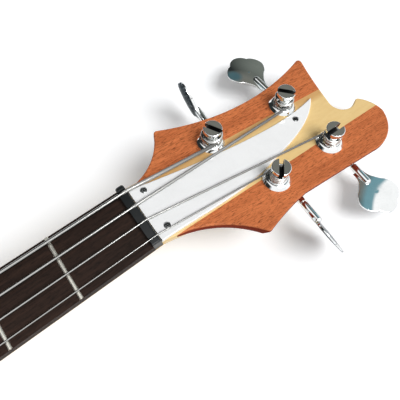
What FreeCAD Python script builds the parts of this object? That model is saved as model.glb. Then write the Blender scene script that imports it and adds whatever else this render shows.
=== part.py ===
import FreeCAD, Part
import Sketcher
import math
import os
import re

# Electric bass with four strings, lying on its back.
# X runs along the neck to the headstock, Y to the side of the thickest string, Z out of the front.
# The origin is on the back of the body, on the centre line, under the saddle line.
# Lengths are in millimetres, angles in degrees.

V = FreeCAD.Vector
ALONG = V(1, 0, 0)
ACROSS = V(0, 1, 0)
UP = V(0, 0, 1)

SIZES = {
    # general
    "scale_length": 864.0,
    "body_thickness": 45.0,
    "board_rise": 15.0,
    "overrun": 6.0,
    "screw_clearance": 0.05,
    "running_clearance": 0.05,
    "open_gap": 0.4,
    "slack_share": 0.001,
    # body outline
    "tail_length": 100.0,
    "body_reach": 352.0,
    "body_half_width": 160.0,
    "body_edge_radius": 7.0,
    "core_width": 64.0,
    # neck
    "heel_start": 296.0,
    "heel_length": 62.0,
    "heel_inset": 0.4,
    "heel_side_share": 0.33,
    "neck_depth_heel": 17.5,
    "neck_depth_nut": 14.5,
    "throat_length": 38.0,
    "throat_width_share": 0.8,
    "throat_cover": 1.0,
    # fingerboard and frets
    "nut_width": 42.0,
    "board_end_width": 62.0,
    "board_thickness": 6.0,
    "board_radius": 305.0,
    "board_tail": 9.0,
    "fret_width": 2.6,
    "fret_height": 1.2,
    "fret_tang_width": 0.6,
    "fret_tang_depth": 1.6,
    "fret_end_gap": 0.3,
    "dot_radius": 3.2,
    "dot_depth": 1.5,
    "dot_pair_offset": 13.0,
    "side_dot_radius": 1.0,
    # nut
    "nut_thickness": 5.5,
    "nut_rise": 3.0,
    "nut_action": 0.5,
    "nut_slot_gap": 0.12,
    "nut_slot_floor": 0.2,
    "nut_side_gap": 0.2,
    "nut_edge_radius": 1.1,
    "nut_horn_radius": 3.2,
    "nut_horn_inset": 2.4,
    "nut_horn_drop": 1.2,
    "nut_horn_round": 1.4,
    # strings
    "string_e_diameter": 2.41,
    "string_a_diameter": 1.91,
    "string_d_diameter": 1.4,
    "string_g_diameter": 1.02,
    "nut_spread": 33.2,
    "saddle_spread": 57.0,
    "saddle_rise": 5.5,
    "saddle_gap": 0.3,
    "string_bend_radius": 12.0,
    "string_break": 1.0,
    "ball_radius": 2.6,
    "ball_length": 5.0,
    "winding_gap": 0.5,
    # headstock
    "headstock_angle": 12.1,
    "headstock_step": 1.5,
    "headstock_length": 178.0,
    "headstock_half_width": 49.0,
    "headstock_thickness": 9.0,
    "headstock_corner_radius": 2.4,
    "headstock_front_radius": 1.0,
    "headstock_land": 3.0,
    "headstock_back_share": 0.94,
    "headstock_centre_share": 0.25,
    "wing_start": 8.0,
    "seam_bass": 17.4,
    "seam_treble_start": 21.8,
    "seam_treble_end": 13.4,
    # truss rod, its nut and its cover
    "rod_radius": 3.0,
    "rod_drop": 9.0,
    "rod_slot_gap": 0.2,
    "rod_nut_radius": 4.3,
    "rod_nut_length": 13.0,
    "rod_nut_start": 4.0,
    "rod_grip_share": 0.7,
    "rod_pocket_length": 20.0,
    "rod_pocket_width": 11.0,
    "cover_length": 140.5,
    "cover_half_width": 20.8,
    "cover_thickness": 2.0,
    "cover_edge_radius": 0.5,
    "cover_gap": 0.15,
    "cover_screw_sink": 1.2,
    # small wood screws for covers
    "small_screw_radius": 1.25,
    "small_screw_length": 8.0,
    "small_head_radius": 2.0,
    "small_head_height": 0.9,
    "small_drive_width": 0.6,
    "small_drive_depth": 0.45,
    "drive_share": 0.6,
    # tuner posts on the headstock
    "post_e_along": 62.7,
    "post_e_across": 20.7,
    "post_a_along": 120.1,
    "post_a_across": 19.4,
    "post_d_along": 127.9,
    "post_d_across": 20.0,
    "post_g_along": 81.4,
    "post_g_across": 23.6,
    "post_e_turn": -58.0,
    "post_a_turn": -43.5,
    "post_d_turn": -3.7,
    "post_g_turn": -51.0,
    "tuner_e_turn": -4.5,
    "tuner_a_turn": 4.0,
    "tuner_d_turn": 0.0,
    "tuner_g_turn": 0.0,
    "post_height": 15.1,
    "post_head_radius": 6.0,
    "post_head_height": 2.5,
    "post_waist_radius": 4.6,
    "post_waist_start": 4.4,
    "post_collar_radius": 6.2,
    "post_shaft_radius": 4.8,
    "post_end_radius": 3.4,
    "post_slot_width": 3.0,
    "post_slot_depth": 6.5,
    "ferrule_radius": 9.0,
    "ferrule_height": 3.1,
    "ferrule_rim": 1.0,
    "ferrule_barrel_radius": 6.9,
    "ferrule_barrel_depth": 7.0,
    "ferrule_dome_radius": 1.6,
    # tuner base plate and worm drive
    "wheel_teeth": 20,
    "wheel_pitch_radius": 8.5,
    "worm_pitch_radius": 3.2,
    "tooth_rise": 0.85,
    "tooth_fall": 1.05,
    "tooth_share": 0.4,
    "tooth_slope_share": 0.3,
    "wheel_thickness": 5.0,
    "wheel_hub_radius": 6.0,
    "wheel_screw_radius": 1.5,
    "wheel_screw_length": 5.0,
    "wheel_head_radius": 4.4,
    "wheel_head_height": 1.8,
    "wheel_drive_width": 1.0,
    "worm_half_length": 5.4,
    "worm_shaft_radius": 1.8,
    "plate_thickness": 1.2,
    "plate_front": 21.6,
    "plate_rear": 12.0,
    "plate_inner": 12.0,
    "plate_outer": 12.2,
    "plate_corner_radius": 4.0,
    "plate_screw_inset": 3.4,
    "ear_start": 6.8,
    "ear_thickness": 2.6,
    "ear_radius": 3.5,
    "snout_radius": 2.7,
    "snout_end": 20.6,
    "treble_trim": 3.8,
    "tuner_screw_radius": 1.3,
    "tuner_screw_length": 7.2,
    "tuner_head_radius": 2.6,
    "tuner_head_height": 1.4,
    # tuner keys
    "key_gap": 0.9,
    "key_stem_radius": 2.5,
    "key_stem_end": 37.5,
    "key_shaft_end": 25.0,
    "key_round_share": 0.8,
    "key_leaf_start": 26.0,
    "key_leaf_length": 34.4,
    "key_leaf_half_width": 16.0,
    "key_leaf_drop": 1.0,
    "key_leaf_middle": 44.0,
    "key_thickness": 2.9,
    "key_face_radius": 145.0,
    "key_notch_radius": 1.2,
    "key_edge_radius": 0.3,
    "key_e_angle": 77.0,
    "key_a_angle": 6.0,
    "key_d_angle": 3.0,
    "key_g_angle": 60.0,
    # bridge
    "bridge_front": 14.0,
    "bridge_wall": 46.0,
    "bridge_wall_thickness": 3.0,
    "bridge_width": 92.0,
    "bridge_height": 18.0,
    "bridge_thickness": 3.0,
    "bridge_edge_radius": 1.0,
    "bridge_corner_radius": 4.0,
    "bridge_screw_inset": 5.0,
    "bridge_rear_inset": 15.0,
    "bridge_screw_radius": 2.0,
    "bridge_screw_length": 22.0,
    "bridge_head_radius": 4.0,
    "bridge_head_height": 1.6,
    "string_hole_rise": 13.4,
    "string_hole_gap": 0.3,
    "saddle_front": 7.0,
    "saddle_back": 11.0,
    "saddle_width": 15.0,
    "saddle_bottom": 1.0,
    "saddle_shoulder": 5.5,
    "saddle_crest": 3.0,
    "saddle_travel": 5.0,
    "saddle_screw_radius": 1.5,
    "saddle_screw_offset": 5.2,
    "saddle_screw_rise": 2.5,
    "saddle_screw_share": 0.45,
    "intonation_radius": 1.5,
    "intonation_rise": 3.4,
    "intonation_reach": 5.0,
    "intonation_head_radius": 2.6,
    "intonation_head_height": 2.4,
    # pickups
    "pickup_neck_place": 205.0,
    "pickup_bridge_place": 76.0,
    "pickup_width": 96.0,
    "pickup_length": 32.0,
    "pickup_rise": 12.0,
    "pickup_depth": 15.0,
    "pickup_wall": 2.0,
    "pickup_gap": 0.8,
    "pickup_corner_radius": 5.0,
    "pickup_edge_radius": 1.5,
    "pole_radius": 2.4,
    "pole_rise": 0.8,
    "pole_offset": 2.9,
    "coil_width": 76.0,
    "coil_length": 18.0,
    "pickup_screw_radius": 1.4,
    "pickup_screw_length": 8.0,
    "pickup_head_radius": 2.8,
    "pickup_head_height": 1.4,
    "pickup_screw_inset": 6.0,
    # controls in the treble wing
    "control_first_reach_share": 0.21,
    "control_first_side_share": 0.58,
    "control_last_reach_share": -0.115,
    "control_last_side_share": 0.605,
    "cavity_radius": 17.0,
    "cavity_roof": 6.0,
    "control_cover_radius": 23.0,
    "control_cover_thickness": 3.0,
    "control_cover_gap": 0.3,
    "control_screw_inset": 3.2,
    "pot_radius": 12.0,
    "pot_depth": 9.0,
    "pot_bushing_radius": 4.7,
    "pot_bushing_rise": 5.0,
    "pot_nut_radius": 7.0,
    "pot_nut_height": 2.4,
    "pot_shaft_radius": 3.0,
    "pot_shaft_rise": 13.0,
    "pot_floor": 1.5,
    "knob_radius": 10.0,
    "knob_top_radius": 8.8,
    "knob_height": 16.0,
    "knob_lift": 0.6,
    "knob_recess_radius": 8.0,
    "knob_recess_height": 5.2,
    "knob_edge_radius": 1.2,
    "knob_flutes": 24,
    "knob_flute_radius": 0.8,
    "knob_flute_share": 0.2,
    "knob_band": 3.6,
    "knob_mark_share": 0.3,
    "knob_turn": 45.0,
    "knob_mark_width": 1.2,
    "knob_mark_depth": 0.5,
    # output jack
    "jack_bore_radius": 3.25,
    "jack_thread_radius": 4.7,
    "jack_flange_radius": 8.0,
    "jack_flange_height": 3.0,
    "jack_depth": 16.0,
    "jack_rise": 3.6,
    "jack_washer_radius": 9.5,
    "jack_washer_height": 0.9,
    "jack_nut_radius": 7.4,
    "jack_nut_height": 2.4,
    # strap buttons
    "button_base_radius": 6.5,
    "button_neck_radius": 4.2,
    "button_head_radius": 7.5,
    "button_height": 13.0,
    "button_flange": 2.2,
    "button_round": 0.9,
    "button_seat": 1.0,
    "button_screw_radius": 1.9,
    "button_screw_length": 20.0,
    "button_screw_head_radius": 3.4,
    "button_screw_head_height": 2.0,
    "horn_button_share": 0.7,
}

# Sizes that follow from the ones above
DERIVED = {
    "board_top": "body_thickness + board_rise",
    "neck_top": "body_thickness + board_rise - board_thickness",
    "head_start": "scale_length + nut_thickness",
    "rod_end": "scale_length + nut_thickness + rod_nut_start + rod_nut_length * rod_grip_share",
    "head_face": "body_thickness + board_rise - headstock_step",
    "worm_outer": "worm_pitch_radius + tooth_rise",
    "worm_root": "worm_pitch_radius - tooth_fall",
    "wheel_outer": "wheel_pitch_radius + tooth_rise",
    "wheel_root": "wheel_pitch_radius - tooth_fall",
    "gear_distance": "wheel_pitch_radius + worm_pitch_radius",
    "tooth_pitch": "2 * pi * wheel_pitch_radius / wheel_teeth",
    "worm_drop": "headstock_thickness + plate_thickness + open_gap + worm_pitch_radius + tooth_rise",
    "head_bottom": "post_height - post_head_height",
    "saddle_top": "body_thickness + board_rise + saddle_rise",
    "pickup_floor": "body_thickness - pickup_depth",
    "pickup_top": "body_thickness + pickup_rise",
    "cavity_top": "body_thickness - cavity_roof",
    "control_first_along": "body_reach * control_first_reach_share",
    "control_first_across": "body_half_width * control_first_side_share",
    "control_last_along": "body_reach * control_last_reach_share",
    "control_last_across": "body_half_width * control_last_side_share",
    "horn_button_across": "body_half_width * horn_button_share",
}

STRINGS = ("e", "a", "d", "g")
FRET_COUNT = 20
DOTTED_FRETS = (3, 5, 7, 9, 15, 17, 19)
OCTAVE_FRET = 12
TURN_COUNTS = {"e": 1.5, "a": 1.75, "d": 2.5, "g": 3.5}
SIDES = {"e": 1, "a": 1, "d": -1, "g": -1}
CONTROL_COUNT = 4
HEXAGON = 6
HEEL_SHARES = (0.25, 0.5, 0.75)

# Outline of the headstock as shares of its length and half width, corner by corner;
# a middle point bends the stretch before the corner into an arc
HEADSTOCK_SHARES = [
    (None, (0.0, 0.42)),
    (None, (0.045, 0.42)),
    ((0.138, 0.615), (0.204, 0.965)),
    ((0.517, 0.722), (0.891, 0.972)),
    ((0.860, 0.480), (0.845, 0.130)),
    ((0.869, -0.090), (0.921, -0.094)),
    (None, (0.949, -0.037)),
    ((0.991, -0.235), (1.0, -0.388)),
    ((0.960, -0.655), (0.843, -0.810)),
    (None, (0.517, -0.816)),
    ((0.416, -0.892), (0.320, -1.0)),
    ((0.215, -0.650), (0.090, -0.459)),
    (None, (0.0, -0.42)),
]

# Edges of the rod cover as shares of its length and half width
COVER_UPPER_SHARES = [
    (0.0, 0.841), (0.214, 0.644), (0.427, 0.505), (0.64, 0.43), (0.84, 0.470), (1.0, 0.668),
]
COVER_LOWER_SHARES = [
    (1.0, 0.668), (0.953, 0.336), (0.864, -0.053), (0.722, -0.404), (0.584, -0.654),
    (0.47, -0.815), (0.2, -0.948), (0.0, -1.0),
]
COVER_SCREW_SHARES = [(0.058, 0.611), (0.054, -0.673), (0.853, 0.260)]

# Outlines of the body wings, as shares of the reach ahead of the saddle line and the half width;
# the first and last points are on the seam
BASS_WING_SHARES = [
    (-0.256, 0.58), (-0.125, 0.93), (0.06, 0.995), (0.27, 0.80), (0.45, 0.672), (0.64, 0.70),
    (0.82, 0.78), (0.95, 0.775), (1.0, 0.70), (0.955, 0.615), (0.875, 0.50), (0.832, 0.36),
]
TREBLE_WING_SHARES = [
    (-0.256, -0.58), (-0.125, -0.93), (0.05, -0.985), (0.24, -0.79), (0.41, -0.665), (0.57, -0.70),
    (0.715, -0.765), (0.82, -0.75), (0.862, -0.67), (0.815, -0.575), (0.745, -0.465), (0.712, -0.35),
]
BASS_ROOT_SHARE = 0.824
TREBLE_ROOT_SHARE = 0.704

# One half of the leaf of a key, as shares of its half width and its length, up to the notch
KEY_LEAF_SHARES = [
    (0.25, 0.0), (0.29, 0.145), (0.54, 0.31), (0.85, 0.44), (1.0, 0.61), (0.84, 0.773), (0.51, 0.86),
]

doc = FreeCAD.newDocument("electric_bass")
sheet = doc.addObject("Spreadsheet::Sheet", "Sizes")
ROWS = list(SIZES.items()) + list(DERIVED.items())
for row, (name, value) in enumerate(ROWS, start=1):
    text = "=" + value if isinstance(value, str) else str(value)
    sheet.set("A%d" % row, name)
    sheet.set("B%d" % row, text)
    sheet.setAlias("B%d" % row, name)
doc.recompute()

CELLS = set(SIZES) | set(DERIVED)
WORD = re.compile(r"[a-z][a-z_]+")


def linked(text):
    """The text of a size with every name turned into a cell of the sheet."""
    def cell(found):
        word = found.group(0)
        return "Sizes." + word if word in CELLS else word
    return WORD.sub(cell, text)


def size(text):
    """The number behind a name or a sum of names."""
    return float(sheet.evalExpression(linked(text)))


parts = []


def finished(thing, label):
    """Give a finished sub-part its label and list it for writing."""
    thing.Label = label
    parts.append(thing)
    return thing


def new_body(name):
    return doc.addObject("PartDesign::Body", name)


def plane_of(body, role):
    return [item for item in body.Origin.OriginFeatures if item.Role == role][0]


def new_sketch(body, name, role, lift="0"):
    sketch = body.newObject("Sketcher::SketchObject", name)
    sketch.AttachmentSupport = (plane_of(body, role), "")
    sketch.MapMode = "FlatFace"
    sketch.setExpression("AttachmentOffset.Base.z", linked(lift))
    return sketch


def tie(sketch, kind, *rest):
    """A dimension of a sketch that follows the sheet."""
    place = sketch.addConstraint(Sketcher.Constraint(kind, *rest[:-1], size(rest[-1])))
    sketch.setExpression("Constraints[%d]" % place, linked(rest[-1]))


def polygon(sketch, corners):
    """A closed polygon with every corner tied to the sheet."""
    points = [V(size(x), size(y), 0) for x, y in corners]
    first = sketch.GeometryCount
    count = len(points)
    for here in range(count):
        sketch.addGeometry(Part.LineSegment(points[here], points[(here + 1) % count]))
    for here in range(count):
        after = first + (here + 1) % count
        sketch.addConstraint(Sketcher.Constraint("Coincident", first + here, 2, after, 1))
    for here, (x, y) in enumerate(corners):
        tie(sketch, "DistanceX", -1, 1, first + here, 1, x)
        tie(sketch, "DistanceY", -1, 1, first + here, 1, y)


def circle(sketch, x, y, radius):
    """A circle with its centre and radius tied to the sheet."""
    place = sketch.addGeometry(Part.Circle(V(size(x), size(y), 0), UP, size(radius)))
    tie(sketch, "DistanceX", -1, 1, place, 3, x)
    tie(sketch, "DistanceY", -1, 1, place, 3, y)
    tie(sketch, "Radius", place, radius)


def hexagon(radius):
    """The corners of a hexagon round the origin."""
    turns = [360 // HEXAGON * place for place in range(HEXAGON)]
    return [("%s * cos(%d)" % (radius, turn), "%s * sin(%d)" % (radius, turn)) for turn in turns]


def pad(body, sketch, name, length, middle=False):
    feature = body.newObject("PartDesign::Pad", name)
    feature.Profile = sketch
    if middle:
        feature.Midplane = True
    feature.setExpression("Length", linked(length))
    doc.recompute()
    return feature


def pocket(body, sketch, name, length, middle=False, turned_over=False):
    feature = body.newObject("PartDesign::Pocket", name)
    feature.Profile = sketch
    if middle:
        feature.Midplane = True
    feature.Reversed = turned_over
    feature.setExpression("Length", linked(length))
    doc.recompute()
    return feature


def fillet(body, base, name, radius, chosen):
    """Round the chosen edges of a feature."""
    names = []
    for number, edge in enumerate(base.Shape.Edges, start=1):
        if chosen(edge):
            names.append("Edge%d" % number)
    feature = body.newObject("PartDesign::Fillet", name)
    feature.Base = (base, names)
    feature.setExpression("Radius", linked(radius))
    doc.recompute()
    return feature


def turned(name, corners):
    """A body turned about the Z axis from corners given as radius and height."""
    body = new_body(name)
    sketch = new_sketch(body, name + "_profile", "XZ_Plane")
    polygon(sketch, corners)
    feature = body.newObject("PartDesign::Revolution", name + "_turn")
    feature.Profile = sketch
    feature.ReferenceAxis = (sketch, ["V_Axis"])
    feature.Angle = 360
    doc.recompute()
    return body


def around(body, feature, name, count):
    """Repeat a feature round the Z axis of its body."""
    ring = body.newObject("PartDesign::PolarPattern", name)
    ring.Originals = [feature]
    axis = [item for item in body.Origin.OriginFeatures if item.Role == "Z_Axis"][0]
    ring.Axis = (axis, [""])
    ring.Angle = 360
    ring.Occurrences = count
    body.Tip = ring
    doc.recompute()
    return ring


def ring_edge(radius, height):
    """A test for the round edge of a given radius at a given height."""
    wanted = size(radius)
    level = size(height)
    slack = wanted * size("slack_share")

    def test(edge):
        if edge.Curve.TypeId != "Part::GeomCircle":
            return False
        return abs(edge.Curve.Radius - wanted) < slack and abs(edge.Curve.Center.z - level) < slack
    return test


def solid_feature(name, shape):
    thing = doc.addObject("Part::Feature", name)
    thing.Shape = shape
    return thing


def group(label, shapes):
    """One sub-part made of separate equal solids."""
    return finished(solid_feature(label, Part.makeCompound(shapes)), label)


def placed(shape, placement):
    copy = shape.copy()
    copy.Placement = placement.multiply(copy.Placement)
    return copy


def cut(name, base, tool):
    thing = doc.addObject("Part::Cut", name)
    thing.Base = base
    thing.Tool = tool
    doc.recompute()
    return thing


def common(name, first, second):
    thing = doc.addObject("Part::Common", name)
    thing.Base = first
    thing.Tool = second
    doc.recompute()
    return thing


def fuse(name, things):
    thing = doc.addObject("Part::MultiFuse", name)
    thing.Shapes = things
    doc.recompute()
    return thing


def rod(start, end, radius):
    """A round bar between two points."""
    way = end - start
    return Part.makeCylinder(radius, way.Length, start, way)


def prism(points, rise):
    """A flat outline of points pushed along a vector."""
    return Part.Face(Part.makePolygon(points + [points[0]])).extrude(rise)


def capsule(start, end, radius, base, height):
    """A slab with parallel sides and round ends."""
    way = (end - start).normalize()
    side = UP.cross(way) * radius
    ends = [V(start.x, start.y, base), V(end.x, end.y, base)]
    edges = [
        Part.makeLine(ends[0] - side, ends[1] - side),
        Part.Arc(ends[1] - side, ends[1] + way * radius, ends[1] + side).toShape(),
        Part.makeLine(ends[1] + side, ends[0] + side),
        Part.Arc(ends[0] + side, ends[0] - way * radius, ends[0] - side).toShape(),
    ]
    return Part.Face(Part.Wire(edges)).extrude(UP * height)


def round_arc(start, end, peak):
    """The arc that leaves start for peak and comes from peak into end."""
    middle = (start + end) / 2
    half = (middle - start).Length
    lean = math.acos(min(1, half / (peak - start).Length))
    rise = (peak - middle).normalize() * (half * math.tan(lean / 2))
    return Part.Arc(start, middle + rise, end).toShape()


def rounded_path(points, radius):
    """Straight runs joined by arcs of one radius."""
    edges = []
    start = points[0]
    for before, corner, after in zip(points, points[1:], points[2:]):
        into = (corner - before).normalize()
        out = (after - corner).normalize()
        trim = radius * math.tan(into.getAngle(out) / 2)
        edges.append(Part.makeLine(start, corner - into * trim))
        edges.append(round_arc(corner - into * trim, corner + out * trim, corner))
        start = corner + out * trim
    edges.append(Part.makeLine(start, points[-1]))
    return edges


def biarcs(points, ways):
    """Pairs of arcs through points with given directions."""
    edges = []
    for start, end, way, into in zip(points, points[1:], ways, ways[1:]):
        gap = end - start
        both = way + into
        spare = 2 * (1 - way.dot(into))
        reach = (-gap.dot(both) + math.sqrt(gap.dot(both) ** 2 + spare * gap.dot(gap))) / spare
        first = start + way * reach
        second = end - into * reach
        middle = (first + second) / 2
        edges.append(round_arc(start, middle, first))
        edges.append(round_arc(middle, end, second))
    return edges


def flowing(points, first_way, last_way):
    """A smooth line of arcs through points, with given directions at its ends."""
    ways = [first_way]
    for before, here, after in zip(points, points[1:], points[2:]):
        into = here - before
        out = after - here
        blend = into * (out.Length / into.Length) + out * (into.Length / out.Length)
        ways.append(blend.normalize())
    ways.append(last_way)
    return biarcs(points, ways)


def tube(edges, radius):
    """A round wire along a path."""
    path = Part.Wire(edges)
    start = edges[0].valueAt(edges[0].FirstParameter)
    way = edges[0].tangentAt(edges[0].FirstParameter)
    ring = Part.Wire([Part.makeCircle(radius, start, way)])
    return Part.Solid(path.makePipeShell([ring], True, False))


# Headstock frame: along the headstock, across it, and out of its face
TILT = FreeCAD.Rotation(ACROSS, size("headstock_angle"))
HEAD = FreeCAD.Placement(V(size("head_start"), 0, size("head_face")), TILT)


def seat_on_headstock(thing):
    """Tie a body drawn in the headstock frame to its place on the neck."""
    thing.Placement = FreeCAD.Placement(V(0, 0, 0), FreeCAD.Rotation(ACROSS, 1))
    thing.setExpression("Placement.Base.x", linked("head_start"))
    thing.setExpression("Placement.Base.z", linked("head_face"))
    thing.setExpression("Placement.Rotation.Angle", linked("headstock_angle") + " * 1 deg")
    doc.recompute()


def half_board(x):
    """Half the width of the fingerboard at a distance from the saddle line."""
    share = (size("scale_length") - x) / (size("scale_length") - board_end)
    return (size("nut_width") + (size("board_end_width") - size("nut_width")) * share) / 2


def board_drop(y):
    """How far the round face of the fingerboard falls at a distance from its middle."""
    radius = size("board_radius")
    return radius - math.sqrt(radius * radius - y * y)


def fret_place(number):
    return size("scale_length") / 2 ** (number / OCTAVE_FRET)


board_end = fret_place(FRET_COUNT) - size("board_tail")

# String lines
string_radius = {}
nut_point = {}
saddle_point = {}
for order, letter in enumerate(STRINGS):
    share = 0.5 - order / (len(STRINGS) - 1)
    radius = size("string_%s_diameter" % letter) / 2
    nut_y = size("nut_spread") * share
    saddle_y = size("saddle_spread") * share
    nut_z = size("board_top + fret_height + nut_action") - board_drop(nut_y) + radius
    saddle_z = size("saddle_top") - board_drop(saddle_y) + radius
    string_radius[letter] = radius
    nut_point[letter] = V(size("head_start"), nut_y, nut_z)
    saddle_point[letter] = V(0, saddle_y, saddle_z)


def string_at(letter, x):
    """A point on the sounding stretch of a string."""
    share = x / size("head_start")
    return saddle_point[letter] * (1 - share) + nut_point[letter] * share


# Small wood screws, tuner screws, bridge screws and pickup screws
def screw(name, kind, drive_width, drive_depth):
    """A wood screw, its head standing on the plane at zero."""
    body = turned(name, [
        ("0", "-%s_screw_length" % kind),
        ("%s_screw_radius" % kind, "-%s_screw_length + %s_screw_radius" % (kind, kind)),
        ("%s_screw_radius" % kind, "0"),
        ("%s_head_radius" % kind, "0"),
        ("%s_head_radius" % kind, "%s_head_height / 2" % kind),
        ("%s_head_radius / 2" % kind, "%s_head_height" % kind),
        ("0", "%s_head_height" % kind),
    ])
    wide = drive_width + " / 2"
    long = "%s_head_radius * drive_share" % kind
    for number, (x, y) in enumerate(((long, wide), (wide, long))):
        sketch = new_sketch(body, "%s_drive%d" % (name, number), "XY_Plane", "%s_head_height" % kind)
        polygon(sketch, [
            ("-(%s)" % x, "-(%s)" % y), (x, "-(%s)" % y), (x, y), ("-(%s)" % x, y),
        ])
        pocket(body, sketch, "%s_cross%d" % (name, number), drive_depth)
    return body


small_screw = screw("small_screw", "small", "small_drive_width", "small_drive_depth")
tuner_screw = screw("tuner_screw", "tuner", "small_drive_width", "small_drive_depth")
bridge_screw = screw("bridge_screw", "bridge", "wheel_drive_width", "small_drive_depth")
pickup_screw = screw("pickup_screw", "pickup", "small_drive_width", "small_drive_depth")

# Places of the posts, and of the tuner plates that are turned a little about them
POSTS = {}
TUNERS = {}
for letter in STRINGS:
    side = SIDES[letter]
    spot = V(size("post_%s_along" % letter), size("post_%s_across" % letter) * side, 0)
    POSTS[letter] = HEAD.multiply(FreeCAD.Placement(spot, FreeCAD.Rotation()))
    lean = FreeCAD.Rotation(UP, size("tuner_%s_turn" % letter))
    TUNERS[letter] = POSTS[letter].multiply(FreeCAD.Placement(V(0, 0, 0), lean))

# Places of the screws and other holes
plate_spots = []
inset = size("plate_screw_inset")
for x in (-size("plate_rear") + inset, size("plate_front") - inset):
    for y in (-size("plate_inner") + inset, size("plate_outer") - inset):
        plate_spots.append(V(x, y, 0))

FACE_BACK = FreeCAD.Rotation(ALONG, 180)
tuner_screw_places = []
for letter in STRINGS:
    for spot in plate_spots:
        under = V(spot.x, spot.y * SIDES[letter], -size("headstock_thickness + plate_thickness"))
        tuner_screw_places.append(TUNERS[letter].multiply(FreeCAD.Placement(under, FACE_BACK)))

cover_screw_places = []
for along_share, across_share in COVER_SCREW_SHARES:
    spot = V(size("cover_length") * along_share, size("cover_half_width") * across_share,
             size("cover_thickness - cover_screw_sink"))
    cover_screw_places.append(HEAD.multiply(FreeCAD.Placement(spot, FreeCAD.Rotation())))

first_control = V(size("control_first_along"), -size("control_first_across"), 0)
last_control = V(size("control_last_along"), -size("control_last_across"), 0)
control_way = (last_control - first_control).normalize()
control_side = UP.cross(control_way)
control_places = []
for place in range(CONTROL_COUNT):
    control_places.append(first_control + (last_control - first_control) * (place / (CONTROL_COUNT - 1)))
pot_places = control_places[:-1]
jack_place = control_places[-1]
rim = size("control_cover_radius - control_screw_inset")
control_screw_places = []
for spot in (first_control - control_way * rim, last_control + control_way * rim,
             first_control + control_side * rim, first_control - control_side * rim,
             last_control + control_side * rim, last_control - control_side * rim):
    deep = V(spot.x, spot.y, size("small_head_height"))
    control_screw_places.append(FreeCAD.Placement(deep, FACE_BACK))

pickup_places = [size("pickup_neck_place"), size("pickup_bridge_place")]
pickup_screw_places = []
for x in pickup_places:
    for side in (1, -1):
        y = side * size("pickup_width / 2 - pickup_screw_inset")
        pickup_screw_places.append(FreeCAD.Placement(V(x, y, size("pickup_top")), FreeCAD.Rotation()))

bridge_screw_places = []
for x_text in ("bridge_front - bridge_screw_inset", "-bridge_wall + bridge_rear_inset"):
    for side in (1, -1):
        spot = V(size(x_text), side * size("bridge_width / 2 - bridge_screw_inset"),
                 size("body_thickness + bridge_thickness"))
        bridge_screw_places.append(FreeCAD.Placement(spot, FreeCAD.Rotation()))


def screw_holes(kind, places, past="0"):
    """Holes for the shanks of screws of one kind at their places."""
    radius = size("%s_screw_radius + screw_clearance" % kind)
    length = size("%s_screw_length + screw_clearance" % kind)
    holes = []
    for place in places:
        hole = Part.makeCylinder(radius, length + size(past), V(0, 0, -length))
        holes.append(placed(hole, place))
    return holes


# Headstock blank and its split into core and wings
blank = new_body("headstock_blank")
sketch = new_sketch(blank, "headstock_outline", "XY_Plane", "-headstock_thickness")
corners = []
for bend, corner in HEADSTOCK_SHARES:
    here = V(corner[0] * size("headstock_length"), corner[1] * size("headstock_half_width"), 0)
    over = None
    if bend:
        over = V(bend[0] * size("headstock_length"), bend[1] * size("headstock_half_width"), 0)
    corners.append((over, here))
for (unused, start), (over, end) in zip(corners, corners[1:] + corners[:1]):
    sketch.addGeometry(Part.Arc(start, over, end) if over else Part.LineSegment(start, end))
slab = pad(blank, sketch, "headstock_slab", "headstock_thickness")


def rim_edge(level):
    """A test for the edges of the outline at one height, without the end at the nut."""
    height = size(level)
    slack = size("headstock_length * slack_share")

    def test(edge):
        box = edge.BoundBox
        flat = abs(box.ZMin - height) < slack and abs(box.ZMax - height) < slack
        return flat and box.XMax > slack
    return test


def corner_edge(edge):
    """A test for the upright edges of the outline away from the nut."""
    box = edge.BoundBox
    inside = box.XMin > size("headstock_length * slack_share")
    return inside and box.ZLength > size("headstock_thickness") / 2


slab = fillet(blank, slab, "corner_round", "headstock_corner_radius", corner_edge)
half_down = -size("headstock_thickness") / 2
back_face = [face for face in slab.Shape.Faces if face.BoundBox.ZMax < half_down][0]
fillet(blank, slab, "front_round", "headstock_front_radius", rim_edge("0"))
seat_on_headstock(blank)

# The edge of the headstock slopes in towards the back below a straight land
middle = V(size("headstock_length * headstock_centre_share"), 0, -size("headstock_thickness"))
narrow = back_face.OuterWire.copy()
narrow.scale(size("headstock_back_share"), middle)
rims = []
for level in ("headstock_thickness", "headstock_thickness - headstock_land"):
    rim = back_face.OuterWire.copy()
    rim.translate(UP * size(level))
    rims.append(rim)
bevel = solid_feature("headstock_bevel", placed(Part.makeLoft(rims + [narrow], True, True), HEAD))
head_blank = common("headstock_bevelled", blank, bevel)


def wing_space(name, corners):
    """The room on one side of a glue seam of the headstock."""
    body = new_body(name)
    sketch = new_sketch(body, name + "_plan", "XY_Plane", "-headstock_thickness - overrun")
    polygon(sketch, corners)
    pad(body, sketch, name + "_slab", "headstock_thickness + 2 * overrun")
    seat_on_headstock(body)
    return body


far_end = "headstock_length + overrun"
far_side = "headstock_half_width + overrun"
bass_space = wing_space("bass_space", [
    ("wing_start", "seam_bass"), (far_end, "seam_bass"), (far_end, far_side), ("wing_start", far_side),
])
treble_space = wing_space("treble_space", [
    ("wing_start", "-seam_treble_start"), ("wing_start", "-(%s)" % far_side),
    (far_end, "-(%s)" % far_side), (far_end, "-seam_treble_end"),
])
bass_rough = common("bass_rough", head_blank, bass_space)
treble_rough = common("treble_rough", head_blank, treble_space)
head_rough = cut("head_rough", cut("head_less_bass", head_blank, bass_space), treble_space)

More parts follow.
